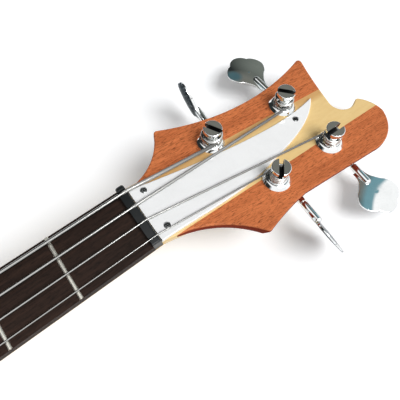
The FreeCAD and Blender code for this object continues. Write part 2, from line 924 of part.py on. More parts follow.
tuner_holes = []
for letter in STRINGS:
    deep = size("headstock_thickness + overrun")
    hole = Part.makeCylinder(size("ferrule_barrel_radius + screw_clearance"), deep + size("overrun"),
                             V(0, 0, -deep))
    tuner_holes.append(placed(hole, POSTS[letter]))
head_holes = solid_feature("head_holes", Part.makeCompound(
    tuner_holes + screw_holes("tuner", tuner_screw_places)))
finished(cut("bass_wing_cut", bass_rough, head_holes), "headstock_wing_bass")
finished(cut("treble_wing_cut", treble_rough, head_holes), "headstock_wing_treble")


# Neck: a tapered shaft, a heel that runs into the body and a throat under the headstock
def neck_section(x, width, top, depth):
    """A flat top edge over a round back."""
    left = V(x, -width / 2, top)
    right = V(x, width / 2, top)
    back = Part.Arc(right, V(x, 0, top - depth), left).toShape()
    return Part.Wire([Part.makeLine(left, right), back])


def neck_depth(x):
    share = (size("scale_length") - x) / (size("scale_length") - board_end)
    return size("neck_depth_nut") + size("neck_depth_heel - neck_depth_nut") * share


shaft = solid_feature("neck_shaft", Part.makeLoft([
    neck_section(board_end, size("board_end_width"), size("neck_top"), size("neck_depth_heel")),
    neck_section(size("head_start"), size("nut_width"), size("neck_top"), size("neck_depth_nut")),
], True, True))

throat_x = size("head_start + throat_length")
sink = math.radians(size("headstock_angle"))
throat_face = size("head_face") - size("throat_length") * math.tan(sink)
throat_top = throat_face - size("headstock_thickness") / math.cos(sink) / 2
throat_depth = size("headstock_thickness") / math.cos(sink) / 2 - size("throat_cover")
throat = solid_feature("neck_throat", Part.makeLoft([
    neck_section(size("head_start - nut_thickness"), size("nut_width"), size("neck_top"),
                 neck_depth(size("head_start - nut_thickness"))),
    neck_section(throat_x, size("nut_width * throat_width_share"), throat_top, throat_depth),
], True, True))


def heel_section(x, width, top, corner_points):
    points = [V(x, -width / 2, top)] + [V(x, y, z) for y, z in corner_points] + [V(x, width / 2, top)]
    return Part.makePolygon(points + [points[0]])


heel_end = size("heel_start + heel_length")
heel_top = size("body_thickness")
neck_width = 2 * half_board(heel_end)
depth = neck_depth(heel_end)
back_radius = (neck_width * neck_width / 4 + depth * depth) / (2 * depth)
back_centre = size("neck_top") - depth + back_radius
ring = back_radius - size("heel_inset")


def ring_point(turn):
    return (ring * math.sin(turn), back_centre - ring * math.cos(turn))


wide_turn = math.acos((back_centre - heel_top) / ring)
back_points = [ring_point(-wide_turn * share) for share in reversed(HEEL_SHARES)]
back_points += [ring_point(0)]
back_points += [ring_point(wide_turn * share) for share in HEEL_SHARES]
half_core = size("core_width") / 2
heel_low = heel_top * size("heel_side_share")
block_points = [(-half_core, heel_low), (-half_core, 0), (-half_core / 2, 0), (0, 0)]
block_points += [(half_core / 2, 0), (half_core, 0), (half_core, heel_low)]
heel = solid_feature("neck_heel", Part.makeLoft([
    heel_section(size("heel_start"), size("core_width"), heel_top, block_points),
    heel_section(heel_end, 2 * ring_point(wide_turn)[0], heel_top, back_points),
], True, True))

block = new_body("core_block")
sketch = new_sketch(block, "core_plan", "XY_Plane")
polygon(sketch, [
    ("-tail_length", "-core_width / 2"), ("heel_start", "-core_width / 2"),
    ("heel_start", "core_width / 2"), ("-tail_length", "core_width / 2"),
])
strip = pad(block, sketch, "core_strip", "body_thickness")


def tail_edge(edge):
    box = edge.BoundBox
    tail = -size("tail_length")
    slack = size("tail_length * slack_share")
    return abs(box.XMin - tail) < slack and abs(box.XMax - tail) < slack and box.ZLength < slack


fillet(block, strip, "tail_round", "body_edge_radius", tail_edge)
slim_throat = cut("throat_less_wings", cut("throat_less_bass", throat, bass_rough), treble_rough)
core_rough = fuse("core_rough", [block, heel, shaft, slim_throat, head_rough])

# Hollows of the core and the wings
rod_level = size("neck_top - rod_drop + rod_radius")
over = size("overrun")


def pickup_space(x):
    gap = size("pickup_gap")
    long = size("pickup_length") + 2 * gap
    wide = size("pickup_width") + 2 * gap
    return Part.makeBox(long, wide, size("pickup_depth + overrun"),
                        V(x - long / 2, -wide / 2, size("pickup_floor")))


button_axis = size("body_thickness / 2")
tail_button = FreeCAD.Placement(V(-size("tail_length"), 0, button_axis), FreeCAD.Rotation(ACROSS, -90))
horn_tip = V(size("body_reach - button_seat"), size("horn_button_across"), button_axis)
horn_button = FreeCAD.Placement(horn_tip, FreeCAD.Rotation(ACROSS, 90))


def button_hole(place):
    deep = size("button_screw_length + screw_clearance")
    hole = Part.makeCylinder(size("button_screw_radius + screw_clearance"), deep + over, V(0, 0, -deep))
    return placed(hole, place)


slot_width = size("2 * rod_radius + 2 * rod_slot_gap")
slot_floor = rod_level - size("rod_radius + rod_slot_gap")
core_tools = tuner_holes + screw_holes("tuner", tuner_screw_places)
core_tools += screw_holes("small", cover_screw_places)
core_tools += screw_holes("bridge", bridge_screw_places)
core_tools += [pickup_space(x) for x in pickup_places]
core_tools.append(button_hole(tail_button))
core_tools.append(Part.makeBox(size("nut_thickness"), size("nut_width") + 2 * over,
                               size("board_thickness") + over,
                               V(size("scale_length"), -size("nut_width") / 2 - over, size("neck_top"))))
core_tools.append(Part.makeBox(size("head_start + rod_pocket_length") - size("heel_start"), slot_width,
                               size("neck_top") - slot_floor,
                               V(size("heel_start"), -slot_width / 2, slot_floor)))
pocket_floor = rod_level - size("rod_nut_radius + rod_slot_gap")
core_tools.append(Part.makeBox(size("rod_pocket_length"), size("rod_pocket_width"),
                               2 * size("board_thickness") + over,
                               V(size("head_start + rod_nut_start / 2"), -size("rod_pocket_width") / 2,
                                 pocket_floor)))
core_rooms = solid_feature("core_rooms", Part.makeCompound(core_tools))
finished(cut("core_cut", core_rough, core_rooms), "neck_core")


# Body wings
def wing(name, shares, root_share, side):
    """A wing of the body with a round edge on both faces and a flat side for the glue seam."""
    reach = size("body_reach")
    wide = size("body_half_width")
    seam = side * size("core_width") / 2
    points = [V(-size("tail_length"), seam, 0)]
    points += [V(x * reach, y * wide, 0) for x, y in shares]
    points.append(V(root_share * reach, seam, 0))
    body = new_body(name)
    sketch = new_sketch(body, name + "_outline", "XY_Plane")
    for edge in flowing(points, V(0, side, 0), V(0, -side, 0)):
        ends = edge.discretize(3)
        sketch.addGeometry(Part.Arc(ends[0], ends[1], ends[2]))
    sketch.addGeometry(Part.LineSegment(points[-1], points[0]))
    slab = pad(body, sketch, name + "_slab", "body_thickness")

    def outer(edge):
        flat = edge.BoundBox.ZLength < wide * size("slack_share")
        return flat and edge.Curve.TypeId == "Part::GeomCircle"
    fillet(body, slab, name + "_round", "body_edge_radius", outer)
    return body


bass_wing = wing("bass_wing", BASS_WING_SHARES, BASS_ROOT_SHARE, 1)
treble_wing = wing("treble_wing", TREBLE_WING_SHARES, TREBLE_ROOT_SHARE, -1)

seat = Part.makeCylinder(size("button_base_radius + button_seat"), over, V(0, 0, 0))
bass_tools = [pickup_space(x) for x in pickup_places]
bass_tools.append(placed(seat, horn_button))
bass_tools.append(button_hole(horn_button).common(Part.makeBox(
    size("body_reach"), size("body_half_width"), size("body_thickness"))))
bass_tools += screw_holes("bridge", bridge_screw_places)
pickup_pilot_places = []
for place in pickup_screw_places:
    low = V(place.Base.x, place.Base.y, size("pickup_floor"))
    pickup_pilot_places.append(FreeCAD.Placement(low, place.Rotation))
bass_tools += screw_holes("pickup", pickup_pilot_places)
bass_rooms = solid_feature("bass_rooms", Part.makeCompound(bass_tools))
finished(cut("bass_wing_hollow", bass_wing, bass_rooms), "body_wing_bass")

cavity = capsule(first_control, last_control, size("cavity_radius"), -over, size("cavity_top") + over)
recess = capsule(first_control, last_control, size("control_cover_radius + control_cover_gap"),
                 -over, size("control_cover_thickness") + over)
treble_tools = [pickup_space(x) for x in pickup_places]
treble_tools.append(cavity.fuse(recess))
for spot in pot_places:
    treble_tools.append(Part.makeCylinder(size("pot_bushing_radius + screw_clearance"),
                                          size("cavity_roof") + over,
                                          V(spot.x, spot.y, size("cavity_top"))))
treble_tools.append(Part.makeCylinder(size("jack_thread_radius + screw_clearance"),
                                      size("cavity_roof") + over,
                                      V(jack_place.x, jack_place.y, size("cavity_top"))))
treble_tools += [hole.common(Part.makeBox(
    size("scale_length"), size("scale_length"), size("body_thickness"),
    V(-size("scale_length") / 2, -size("scale_length"), size("control_cover_thickness"))))
    for hole in screw_holes("small", control_screw_places)]
treble_tools += screw_holes("bridge", bridge_screw_places)
treble_tools += screw_holes("pickup", pickup_pilot_places)
treble_rooms = solid_feature("treble_rooms", Part.makeCompound(treble_tools))
finished(cut("treble_wing_hollow", treble_wing, treble_rooms), "body_wing_treble")

# Fingerboard, frets and dots
board = new_body("board_blank")
sketch = new_sketch(board, "board_plan", "XY_Plane", "neck_top")
end_half = size("board_end_width") / 2
nut_half = size("nut_width") / 2
plan = [V(board_end, -end_half, 0), V(size("scale_length"), -nut_half, 0),
        V(size("scale_length"), nut_half, 0), V(board_end, end_half, 0)]
for start, end in zip(plan, plan[1:] + plan[:1]):
    sketch.addGeometry(Part.LineSegment(start, end))
pad(board, sketch, "board_slab", "board_thickness")
board_round = doc.addObject("Part::Cylinder", "board_round")
board_round.setExpression("Radius", linked("board_radius"))
board_round.setExpression("Height", linked("scale_length + overrun"))
board_round.Placement = FreeCAD.Placement(V(0, 0, 0), FreeCAD.Rotation(ACROSS, 90))
board_round.setExpression("Placement.Base.z", linked("board_top - board_radius"))
board_rough = common("board_rough", board, board_round)

board_axis = V(0, 0, size("board_top - board_radius"))


def bent(face, half_turn):
    """A section swept round the curve of the fingerboard."""
    start = face.copy()
    start.rotate(board_axis, ALONG, -math.degrees(half_turn))
    return start.revolve(board_axis, ALONG, 2 * math.degrees(half_turn))


top = size("board_top")
frets = []
board_tools = []
for number in range(1, FRET_COUNT + 1):
    x = fret_place(number)
    half = size("fret_width") / 2
    tang = size("fret_tang_width") / 2
    deep = top - size("fret_tang_depth")
    crest = V(x, 0, top + size("fret_height"))
    crown = Part.Arc(V(x - half, 0, top), crest, V(x + half, 0, top)).toShape()
    stem = Part.makePolygon([V(x + half, 0, top), V(x + tang, 0, top), V(x + tang, 0, deep),
                             V(x - tang, 0, deep), V(x - tang, 0, top), V(x - half, 0, top)])
    face = Part.Face(Part.Wire([crown] + stem.Edges))
    reach = (half_board(x) - size("fret_end_gap")) / size("board_radius")
    frets.append(bent(face, math.asin(reach)))
    wall = tang + size("screw_clearance")
    floor = deep - size("screw_clearance")
    gap = Part.Face(Part.makePolygon([
        V(x - wall, 0, floor), V(x + wall, 0, floor), V(x + wall, 0, top + over),
        V(x - wall, 0, top + over), V(x - wall, 0, floor)]))
    board_tools.append(bent(gap, math.asin((half_board(x) + over) / size("board_radius"))))
group("frets", frets)

dots = []
spots = [(number, 0) for number in DOTTED_FRETS]
spots += [(OCTAVE_FRET, size("dot_pair_offset")), (OCTAVE_FRET, -size("dot_pair_offset"))]
for number, y in spots:
    x = (fret_place(number) + fret_place(number - 1)) / 2
    base = V(x, y, top - board_drop(abs(y) + size("dot_radius")) - size("dot_depth"))
    dots.append(Part.makeCylinder(size("dot_radius"), size("dot_depth"), base))
    board_tools.append(Part.makeCylinder(size("dot_radius"), size("dot_depth") + over, base))
for number in DOTTED_FRETS + (OCTAVE_FRET,):
    x = (fret_place(number) + fret_place(number - 1)) / 2
    edge = half_board(x + size("side_dot_radius"))
    level = size("neck_top") + size("board_thickness") / 2
    base = V(x, edge - size("dot_depth"), level)
    dots.append(Part.makeCylinder(size("side_dot_radius"), size("dot_depth"), base, ACROSS))
    board_tools.append(Part.makeCylinder(size("side_dot_radius"), size("dot_depth") + over, base, ACROSS))
group("position_dots", dots)
board_rooms = solid_feature("board_rooms", Part.makeCompound(board_tools))
finished(cut("board_cut", board_rough, board_rooms), "fretboard")

# Nut with a slot for every string
nut = new_body("nut_blank")
sketch = new_sketch(nut, "nut_profile", "YZ_Plane")
half = nut_half - size("nut_side_gap")
crown = size("board_top + nut_rise")
side_top = crown - board_drop(half)
low = size("neck_top")
sketch.addGeometry(Part.LineSegment(V(-half, low, 0), V(half, low, 0)))
sketch.addGeometry(Part.LineSegment(V(half, low, 0), V(half, side_top, 0)))
sketch.addGeometry(Part.Arc(V(half, side_top, 0), V(0, crown, 0), V(-half, side_top, 0)))
sketch.addGeometry(Part.LineSegment(V(-half, side_top, 0), V(-half, low, 0)))
bar = pad(nut, sketch, "nut_bar", "nut_thickness")


def nut_edge(edge):
    box = edge.BoundBox
    if box.ZMin < size("board_top"):
        return False
    ends = box.YLength < half and box.XLength > size("nut_thickness") / 2
    crest = box.YLength > half and box.XMin > size("nut_thickness / 2")
    return ends or crest


fillet(nut, bar, "nut_round", "nut_edge_radius", nut_edge)
horn = turned("nut_horn", [
    ("0", "0"), ("nut_horn_radius", "0"), ("nut_horn_radius", "nut_thickness"), ("0", "nut_thickness"),
])


def horn_edge(edge):
    return edge.Curve.TypeId == "Part::GeomCircle"


fillet(horn, horn.Tip, "nut_horn_ends", "nut_horn_round", horn_edge)
horn.Placement = FreeCAD.Placement(V(0, 0, 0), FreeCAD.Rotation(ACROSS, 90))
horn.setExpression("Placement.Base.y", linked("nut_width / 2 - nut_horn_inset"))
horn.setExpression("Placement.Base.z", linked("board_top + nut_rise - nut_horn_drop"))
doc.recompute()
nut_whole = fuse("nut_whole", [nut, horn])
slots = []
for letter in STRINGS:
    wide = 2 * string_radius[letter] + 2 * size("nut_slot_gap")
    point = nut_point[letter]
    foot = point.z - string_radius[letter] - size("nut_slot_floor")
    slots.append(Part.makeBox(size("nut_thickness") + 2 * over, wide, size("nut_rise") + over,
                              V(-over, point.y - wide / 2, foot)))
nut_rooms = solid_feature("nut_rooms", Part.makeCompound(slots))
nut_cut = cut("nut_cut", nut_whole, nut_rooms)
nut_cut.setExpression("Placement.Base.x", linked("scale_length"))
finished(nut_cut, "nut")

# Truss rod, its nut, its cover and the small screws
rod_bar = doc.addObject("Part::Cylinder", "rod_bar")
rod_bar.setExpression("Radius", linked("rod_radius"))
rod_bar.setExpression("Height", linked("rod_end - heel_start"))
rod_bar.Placement = FreeCAD.Placement(V(0, 0, 0), FreeCAD.Rotation(ACROSS, 90))
rod_bar.setExpression("Placement.Base.x", linked("heel_start"))
rod_bar.setExpression("Placement.Base.z", linked("neck_top - rod_drop + rod_radius"))
doc.recompute()
finished(rod_bar, "truss_rod")

rod_nut = new_body("rod_nut")
sketch = new_sketch(rod_nut, "rod_nut_plan", "YZ_Plane")
polygon(sketch, hexagon("rod_nut_radius"))
circle(sketch, "0", "0", "rod_radius + running_clearance")
pad(rod_nut, sketch, "rod_nut_hex", "rod_nut_length")
rod_nut.setExpression("Placement.Base.x", linked("head_start + rod_nut_start"))
rod_nut.setExpression("Placement.Base.z", linked("neck_top - rod_drop + rod_radius"))
doc.recompute()
finished(rod_nut, "truss_rod_nut")


def share_curve(shares, long, wide, start):
    points = [V(start + x * (long - start), y * wide, 0) for x, y in shares]
    curve = Part.BSplineCurve()
    curve.interpolate(points)
    return curve


rod_cover = new_body("rod_cover")
sketch = new_sketch(rod_cover, "rod_cover_outline", "XY_Plane")
cover_start = size("cover_gap")
upper = share_curve(COVER_UPPER_SHARES, size("cover_length"), size("cover_half_width"), cover_start)
lower = share_curve(COVER_LOWER_SHARES, size("cover_length"), size("cover_half_width"), cover_start)
sketch.addGeometry(upper)
sketch.addGeometry(lower)
sketch.addGeometry(Part.LineSegment(lower.EndPoint, upper.StartPoint))
sheet_pad = pad(rod_cover, sketch, "rod_cover_sheet", "cover_thickness")


def cover_edge(edge):
    box = edge.BoundBox
    high = abs(box.ZMin - size("cover_thickness")) < size("cover_thickness * slack_share")
    return high and box.XLength > cover_start


fillet(rod_cover, sheet_pad, "rod_cover_round", "cover_edge_radius", cover_edge)
seat_on_headstock(rod_cover)
head_room = Part.makeCylinder(size("small_head_radius + cover_gap"), over, V(0, 0, 0))
cover_holes = solid_feature("cover_holes", Part.makeCompound(
    screw_holes("small", cover_screw_places, "overrun")
    + [placed(head_room, place) for place in cover_screw_places]))
finished(cut("cover_cut", rod_cover, cover_holes), "truss_rod_cover")
small_screw_places = cover_screw_places + control_screw_places
group("cover_screws", [placed(small_screw.Shape, place) for place in small_screw_places])

# Tuners: posts, ferrules, base plates, worm drives and keys, drawn for the bass side
ferrule = turned("ferrule", [
    ("post_shaft_radius + running_clearance", "-ferrule_barrel_depth"),
    ("ferrule_barrel_radius", "-ferrule_barrel_depth"),
    ("ferrule_barrel_radius", "0"),
    ("ferrule_radius", "0"),
    ("ferrule_radius", "ferrule_rim"),
    ("post_collar_radius + ferrule_rim", "ferrule_height"),
    ("post_shaft_radius + running_clearance", "ferrule_height"),
])
fillet(ferrule, ferrule.Tip, "ferrule_dome", "ferrule_dome_radius",
       ring_edge("post_collar_radius + ferrule_rim", "ferrule_height"))

post = turned("post", [
    ("0", "-worm_drop - wheel_thickness / 2"),
    ("post_end_radius", "-worm_drop - wheel_thickness / 2"),
    ("post_end_radius", "-headstock_thickness - plate_thickness - open_gap"),
    ("post_shaft_radius", "-headstock_thickness - plate_thickness - open_gap"),
    ("post_shaft_radius", "ferrule_height + open_gap"),
    ("post_collar_radius", "ferrule_height + open_gap"),
    ("post_collar_radius", "post_waist_start - open_gap"),
    ("post_waist_radius", "post_waist_start"),
    ("post_waist_radius", "head_bottom - post_head_radius + post_waist_radius"),
    ("post_head_radius", "head_bottom"),
    ("post_head_radius", "post_height"),
    ("0", "post_height"),
])
top_round = fillet(post, post.Tip, "post_round", "open_gap", ring_edge("post_head_radius", "post_height"))
sketch = new_sketch(post, "post_slot", "XY_Plane", "post_height")
polygon(sketch, [
    ("-post_head_radius - overrun", "-post_slot_width / 2"),
    ("post_head_radius + overrun", "-post_slot_width / 2"),
    ("post_head_radius + overrun", "post_slot_width / 2"),
    ("-post_head_radius - overrun", "post_slot_width / 2"),
])
pocket(post, sketch, "post_slot_cut", "post_slot_depth")
sketch = new_sketch(post, "post_tap", "XY_Plane", "-worm_drop - wheel_thickness / 2")
circle(sketch, "0", "0", "wheel_screw_radius + screw_clearance")
pocket(post, sketch, "post_tap_cut", "wheel_screw_length + open_gap", False, True)

wheel = turned("wheel", [
    ("post_end_radius + screw_clearance", "-wheel_thickness / 2"),
    ("wheel_outer", "-wheel_thickness / 2"),
    ("wheel_outer", "wheel_thickness / 2"),
    ("wheel_hub_radius", "wheel_thickness / 2"),
    ("wheel_hub_radius", "worm_drop - headstock_thickness - plate_thickness - open_gap"),
    ("post_end_radius + screw_clearance", "worm_drop - headstock_thickness - plate_thickness - open_gap"),
])
lead = math.degrees(math.atan(size("tooth_pitch") / (2 * math.pi * size("worm_pitch_radius"))))
sketch = wheel.newObject("Sketcher::SketchObject", "tooth_gap")
sketch.AttachmentSupport = (plane_of(wheel, "XY_Plane"), "")
sketch.MapMode = "FlatFace"
sketch.AttachmentOffset = FreeCAD.Placement(V(0, 0, 0), FreeCAD.Rotation(ALONG, -lead))
half_gap = "tooth_pitch * (1 - tooth_share) / 2"
spread = "tooth_rise * tooth_slope_share"
taper = "tooth_fall * tooth_slope_share"
far_spread = "(tooth_rise + open_gap) * tooth_slope_share"
polygon(sketch, [
    ("wheel_root", "-(%s) + %s" % (half_gap, taper)),
    ("wheel_outer + open_gap", "-(%s) - %s" % (half_gap, far_spread)),
    ("wheel_outer + open_gap", "%s + %s" % (half_gap, far_spread)),
    ("wheel_root", "%s - %s" % (half_gap, taper)),
])
gap_cut = pocket(wheel, sketch, "tooth_gap_cut", "wheel_thickness + 2 * overrun", True)
around(wheel, gap_cut, "tooth_ring", int(size("wheel_teeth")))

wheel_screw = turned("wheel_screw", [
    ("0", "-wheel_thickness / 2 - wheel_head_height"),
    ("wheel_head_radius", "-wheel_thickness / 2 - wheel_head_height"),
    ("wheel_head_radius", "-wheel_thickness / 2"),
    ("wheel_screw_radius", "-wheel_thickness / 2"),
    ("wheel_screw_radius", "-wheel_thickness / 2 + wheel_screw_length"),
    ("0", "-wheel_thickness / 2 + wheel_screw_length"),
])
sketch = new_sketch(wheel_screw, "wheel_drive", "XY_Plane", "-wheel_thickness / 2 - wheel_head_height")
polygon(sketch, [
    ("-wheel_head_radius - overrun", "-wheel_drive_width / 2"),
    ("wheel_head_radius + overrun", "-wheel_drive_width / 2"),
    ("wheel_head_radius + overrun", "wheel_drive_width / 2"),
    ("-wheel_head_radius - overrun", "wheel_drive_width / 2"),
])
pocket(wheel_screw, sketch, "wheel_drive_cut", "wheel_head_height / 2", False, True)

# Base plate with two bearing ears and a snout that carries the key shaft
plate = new_body("tuner_plate")
sketch = new_sketch(plate, "plate_plan", "XY_Plane", "-headstock_thickness - plate_thickness")
polygon(sketch, [
    ("-plate_rear", "-plate_inner"), ("plate_front", "-plate_inner"),
    ("plate_front", "plate_outer"), ("-plate_rear", "plate_outer"),
])
circle(sketch, "0", "0", "post_shaft_radius + running_clearance")
for spot_x in ("-plate_rear + plate_screw_inset", "plate_front - plate_screw_inset"):
    for spot_y in ("-plate_inner + plate_screw_inset", "plate_outer - plate_screw_inset"):
        circle(sketch, spot_x, spot_y, "tuner_screw_radius + screw_clearance")
sheet_pad = pad(plate, sketch, "plate_sheet", "plate_thickness")


def upright_edge(edge):
    return edge.Curve.TypeId == "Part::GeomLine" and edge.BoundBox.ZLength > size("plate_thickness") / 2


fillet(plate, sheet_pad, "plate_corners", "plate_corner_radius", upright_edge)
for name, start, length in (("inner", "-ear_start - ear_thickness", "ear_thickness"),
                            ("outer", "ear_start", "ear_thickness")):
    sketch = new_sketch(plate, name + "_ear_plan", "XZ_Plane", "-(%s)" % start)
    polygon(sketch, [
        ("gear_distance - ear_radius", "-worm_drop"), ("gear_distance + ear_radius", "-worm_drop"),
        ("gear_distance + ear_radius", "-headstock_thickness - plate_thickness / 2"),
        ("gear_distance - ear_radius", "-headstock_thickness - plate_thickness / 2"),
    ])
    ear = pad(plate, sketch, name + "_ear", length)
    ear.Reversed = True
    sketch = new_sketch(plate, name + "_boss_plan", "XZ_Plane", "-(%s)" % start)
    circle(sketch, "gear_distance", "-worm_drop", "ear_radius")
    boss = pad(plate, sketch, name + "_boss", length)
    boss.Reversed = True
    doc.recompute()
sketch = new_sketch(plate, "snout_plan", "XZ_Plane", "-ear_start")
circle(sketch, "gear_distance", "-worm_drop", "snout_radius")
snout = pad(plate, sketch, "snout", "snout_end - ear_start")
snout.Reversed = True
sketch = new_sketch(plate, "bearing_plan", "XZ_Plane", "plate_inner + overrun")
circle(sketch, "gear_distance", "-worm_drop", "worm_shaft_radius + running_clearance")
bearing = pocket(plate, sketch, "bearing_bore", "plate_inner + snout_end + 2 * overrun")
doc.recompute()

# Worm shaft along the Y axis, its thread facing the wheel
core_radius = size("worm_root")
thread_foot = core_radius - size("screw_clearance") * 2
pitch = size("tooth_pitch")
half_long = size("worm_half_length")
thread_turns = 2 * (half_long - pitch / 2) / pitch
wide_foot = size("tooth_pitch * tooth_share / 2 + tooth_fall * tooth_slope_share")
wide_top = size("tooth_pitch * tooth_share / 2 - tooth_rise * tooth_slope_share")
helix = Part.makeHelix(pitch, thread_turns * pitch, size("worm_pitch_radius"))
section = Part.makePolygon([
    V(thread_foot, 0, -wide_foot), V(size("worm_outer"), 0, -wide_top),
    V(size("worm_outer"), 0, wide_top), V(thread_foot, 0, wide_foot), V(thread_foot, 0, -wide_foot)])
thread = Part.Solid(Part.Wire(helix.Edges).makePipeShell([Part.Wire(section.Edges)], True, True))
thread.translate(V(0, 0, -thread_turns * pitch / 2))
thread.rotate(V(0, 0, 0), UP, -180 * thread_turns)
bar = Part.makeCylinder(core_radius, 2 * half_long, V(0, 0, -half_long))
inner_end = size("ear_start + ear_thickness + open_gap")
axle = Part.makeCylinder(size("worm_shaft_radius"), size("key_shaft_end") + inner_end,
                         V(0, 0, -inner_end))
worm_shape = bar.fuse([thread, axle]).removeSplitter()
worm_shape.rotate(V(0, 0, 0), ALONG, -90)
worm_shape.rotate(V(0, 0, 0), ACROSS, 180)
worm_shape.translate(V(size("gear_distance"), 0, -size("worm_drop")))

# Key with a round stem that lies as a ridge on a cushioned leaf of three lobes, its axis on the Y axis
stem = turned("key_stem", [
    ("worm_shaft_radius + screw_clearance", "snout_end + key_gap"),
    ("key_stem_radius", "snout_end + key_gap"),
    ("key_stem_radius", "key_stem_end"),
    ("0", "key_stem_end"),
    ("0", "key_shaft_end + screw_clearance"),
    ("worm_shaft_radius + screw_clearance", "key_shaft_end + screw_clearance"),
])
fillet(stem, stem.Tip, "key_stem_round", "key_stem_radius * key_round_share",
       ring_edge("key_stem_radius", "key_stem_end"))
stem.Placement = FreeCAD.Placement(V(0, 0, 0), FreeCAD.Rotation(ALONG, -90))


def leaf_point(across_share, along_share):
    return V(across_share * size("key_leaf_half_width"),
             size("key_leaf_start") + along_share * size("key_leaf_length"), 0)


def flipped(point):
    return V(-point.x, point.y, point.z)


leaf_body = new_body("key_leaf_plan")
sketch = new_sketch(leaf_body, "leaf_outline", "XY_Plane")
half_outline = [leaf_point(across, along) for across, along in KEY_LEAF_SHARES]
for edge in flowing(half_outline, ACROSS, -ALONG):
    ends = edge.discretize(3)
    sketch.addGeometry(Part.Arc(ends[0], ends[1], ends[2]))
    sketch.addGeometry(Part.Arc(flipped(ends[2]), flipped(ends[1]), flipped(ends[0])))
sketch.addGeometry(Part.Arc(half_outline[-1], leaf_point(0, 1), flipped(half_outline[-1])))
sketch.addGeometry(Part.LineSegment(flipped(half_outline[0]), half_outline[0]))
leaf = pad(leaf_body, sketch, "leaf_slab", "key_thickness", True)


def notch_edge(edge):
    box = edge.BoundBox
    upright = box.ZLength > size("key_thickness") / 2
    return upright and abs(box.YMin - half_outline[-1].y) < size("key_edge_radius")


leaf = fillet(leaf_body, leaf, "leaf_notches", "key_notch_radius", notch_edge)
domes = []
for name, side in (("front", 1), ("back", -1)):
    dome = doc.addObject("Part::Sphere", "key_dome_" + name)
    dome.setExpression("Radius", linked("key_face_radius"))
    dome.setExpression("Placement.Base.y", linked("key_leaf_middle"))
    dome.setExpression("Placement.Base.z", linked("(key_thickness / 2 - key_face_radius) * %d" % side))
    domes.append(dome)
doc.recompute()
cushion = common("key_cushion", leaf_body, common("key_lens", domes[0], domes[1]))


def leaf_rim(edge):
    box = edge.BoundBox
    return box.ZLength < size("key_thickness") / 2


rims = [edge for edge in cushion.Shape.Edges if leaf_rim(edge)]
smooth = cushion.Shape.Solids[0].makeFillet(size("key_edge_radius"), rims)
leaf_solid = solid_feature("key_leaf", smooth)
leaf_solid.setExpression("Placement.Base.z", linked("-key_leaf_drop"))
doc.recompute()
key = fuse("key_whole", [stem, leaf_solid])

def trimmed(shape, end):
    """A piece of a treble tuner, which is shorter at the end of its shaft."""
    trim = size("treble_trim")
    spare = Part.makeBox(2 * size("gear_distance"), trim + over, 2 * size("worm_drop"),
                         V(0, size(end) - trim, -2 * size("worm_drop")))
    return shape.cut(spare)


# One tuner for every string; those of the treble side are mirror images with a shorter shaft
plates = []
ferrules = []
for letter in STRINGS:
    treble = SIDES[letter] < 0

    def sided(shape, frame):
        copy = shape.copy()
        if treble:
            copy = copy.mirror(V(0, 0, 0), ACROSS)
        return placed(copy, frame[letter])

    drop = FreeCAD.Placement(V(0, 0, -size("worm_drop")), FreeCAD.Rotation())
    turn = FreeCAD.Placement(V(0, 0, 0), FreeCAD.Rotation(UP, size("post_%s_turn" % letter)))
    gear = Part.makeCompound([placed(wheel.Shape, drop), placed(wheel_screw.Shape, drop)])
    plate_shape = trimmed(plate.Shape, "snout_end") if treble else plate.Shape
    shaft_shape = trimmed(worm_shape, "key_shaft_end") if treble else worm_shape
    back_off = size("treble_trim") if treble else 0
    lean = FreeCAD.Placement(V(size("gear_distance"), -back_off, -size("worm_drop")),
                             FreeCAD.Rotation(ACROSS, size("key_%s_angle" % letter)))
    plates.append(sided(plate_shape, TUNERS))
    ferrules.append(sided(ferrule.Shape, POSTS))
    for name, shape, frame in (("post_", placed(post.Shape, turn), POSTS), ("wheel_", gear, TUNERS),
                               ("worm_", shaft_shape, TUNERS), ("key_", placed(key.Shape, lean), TUNERS)):
        finished(solid_feature(name + letter, sided(shape, frame)), name + letter)
group("tuner_plates", plates)
group("tuner_ferrules", ferrules)
group("tuner_screws", [placed(tuner_screw.Shape, place) for place in tuner_screw_places])


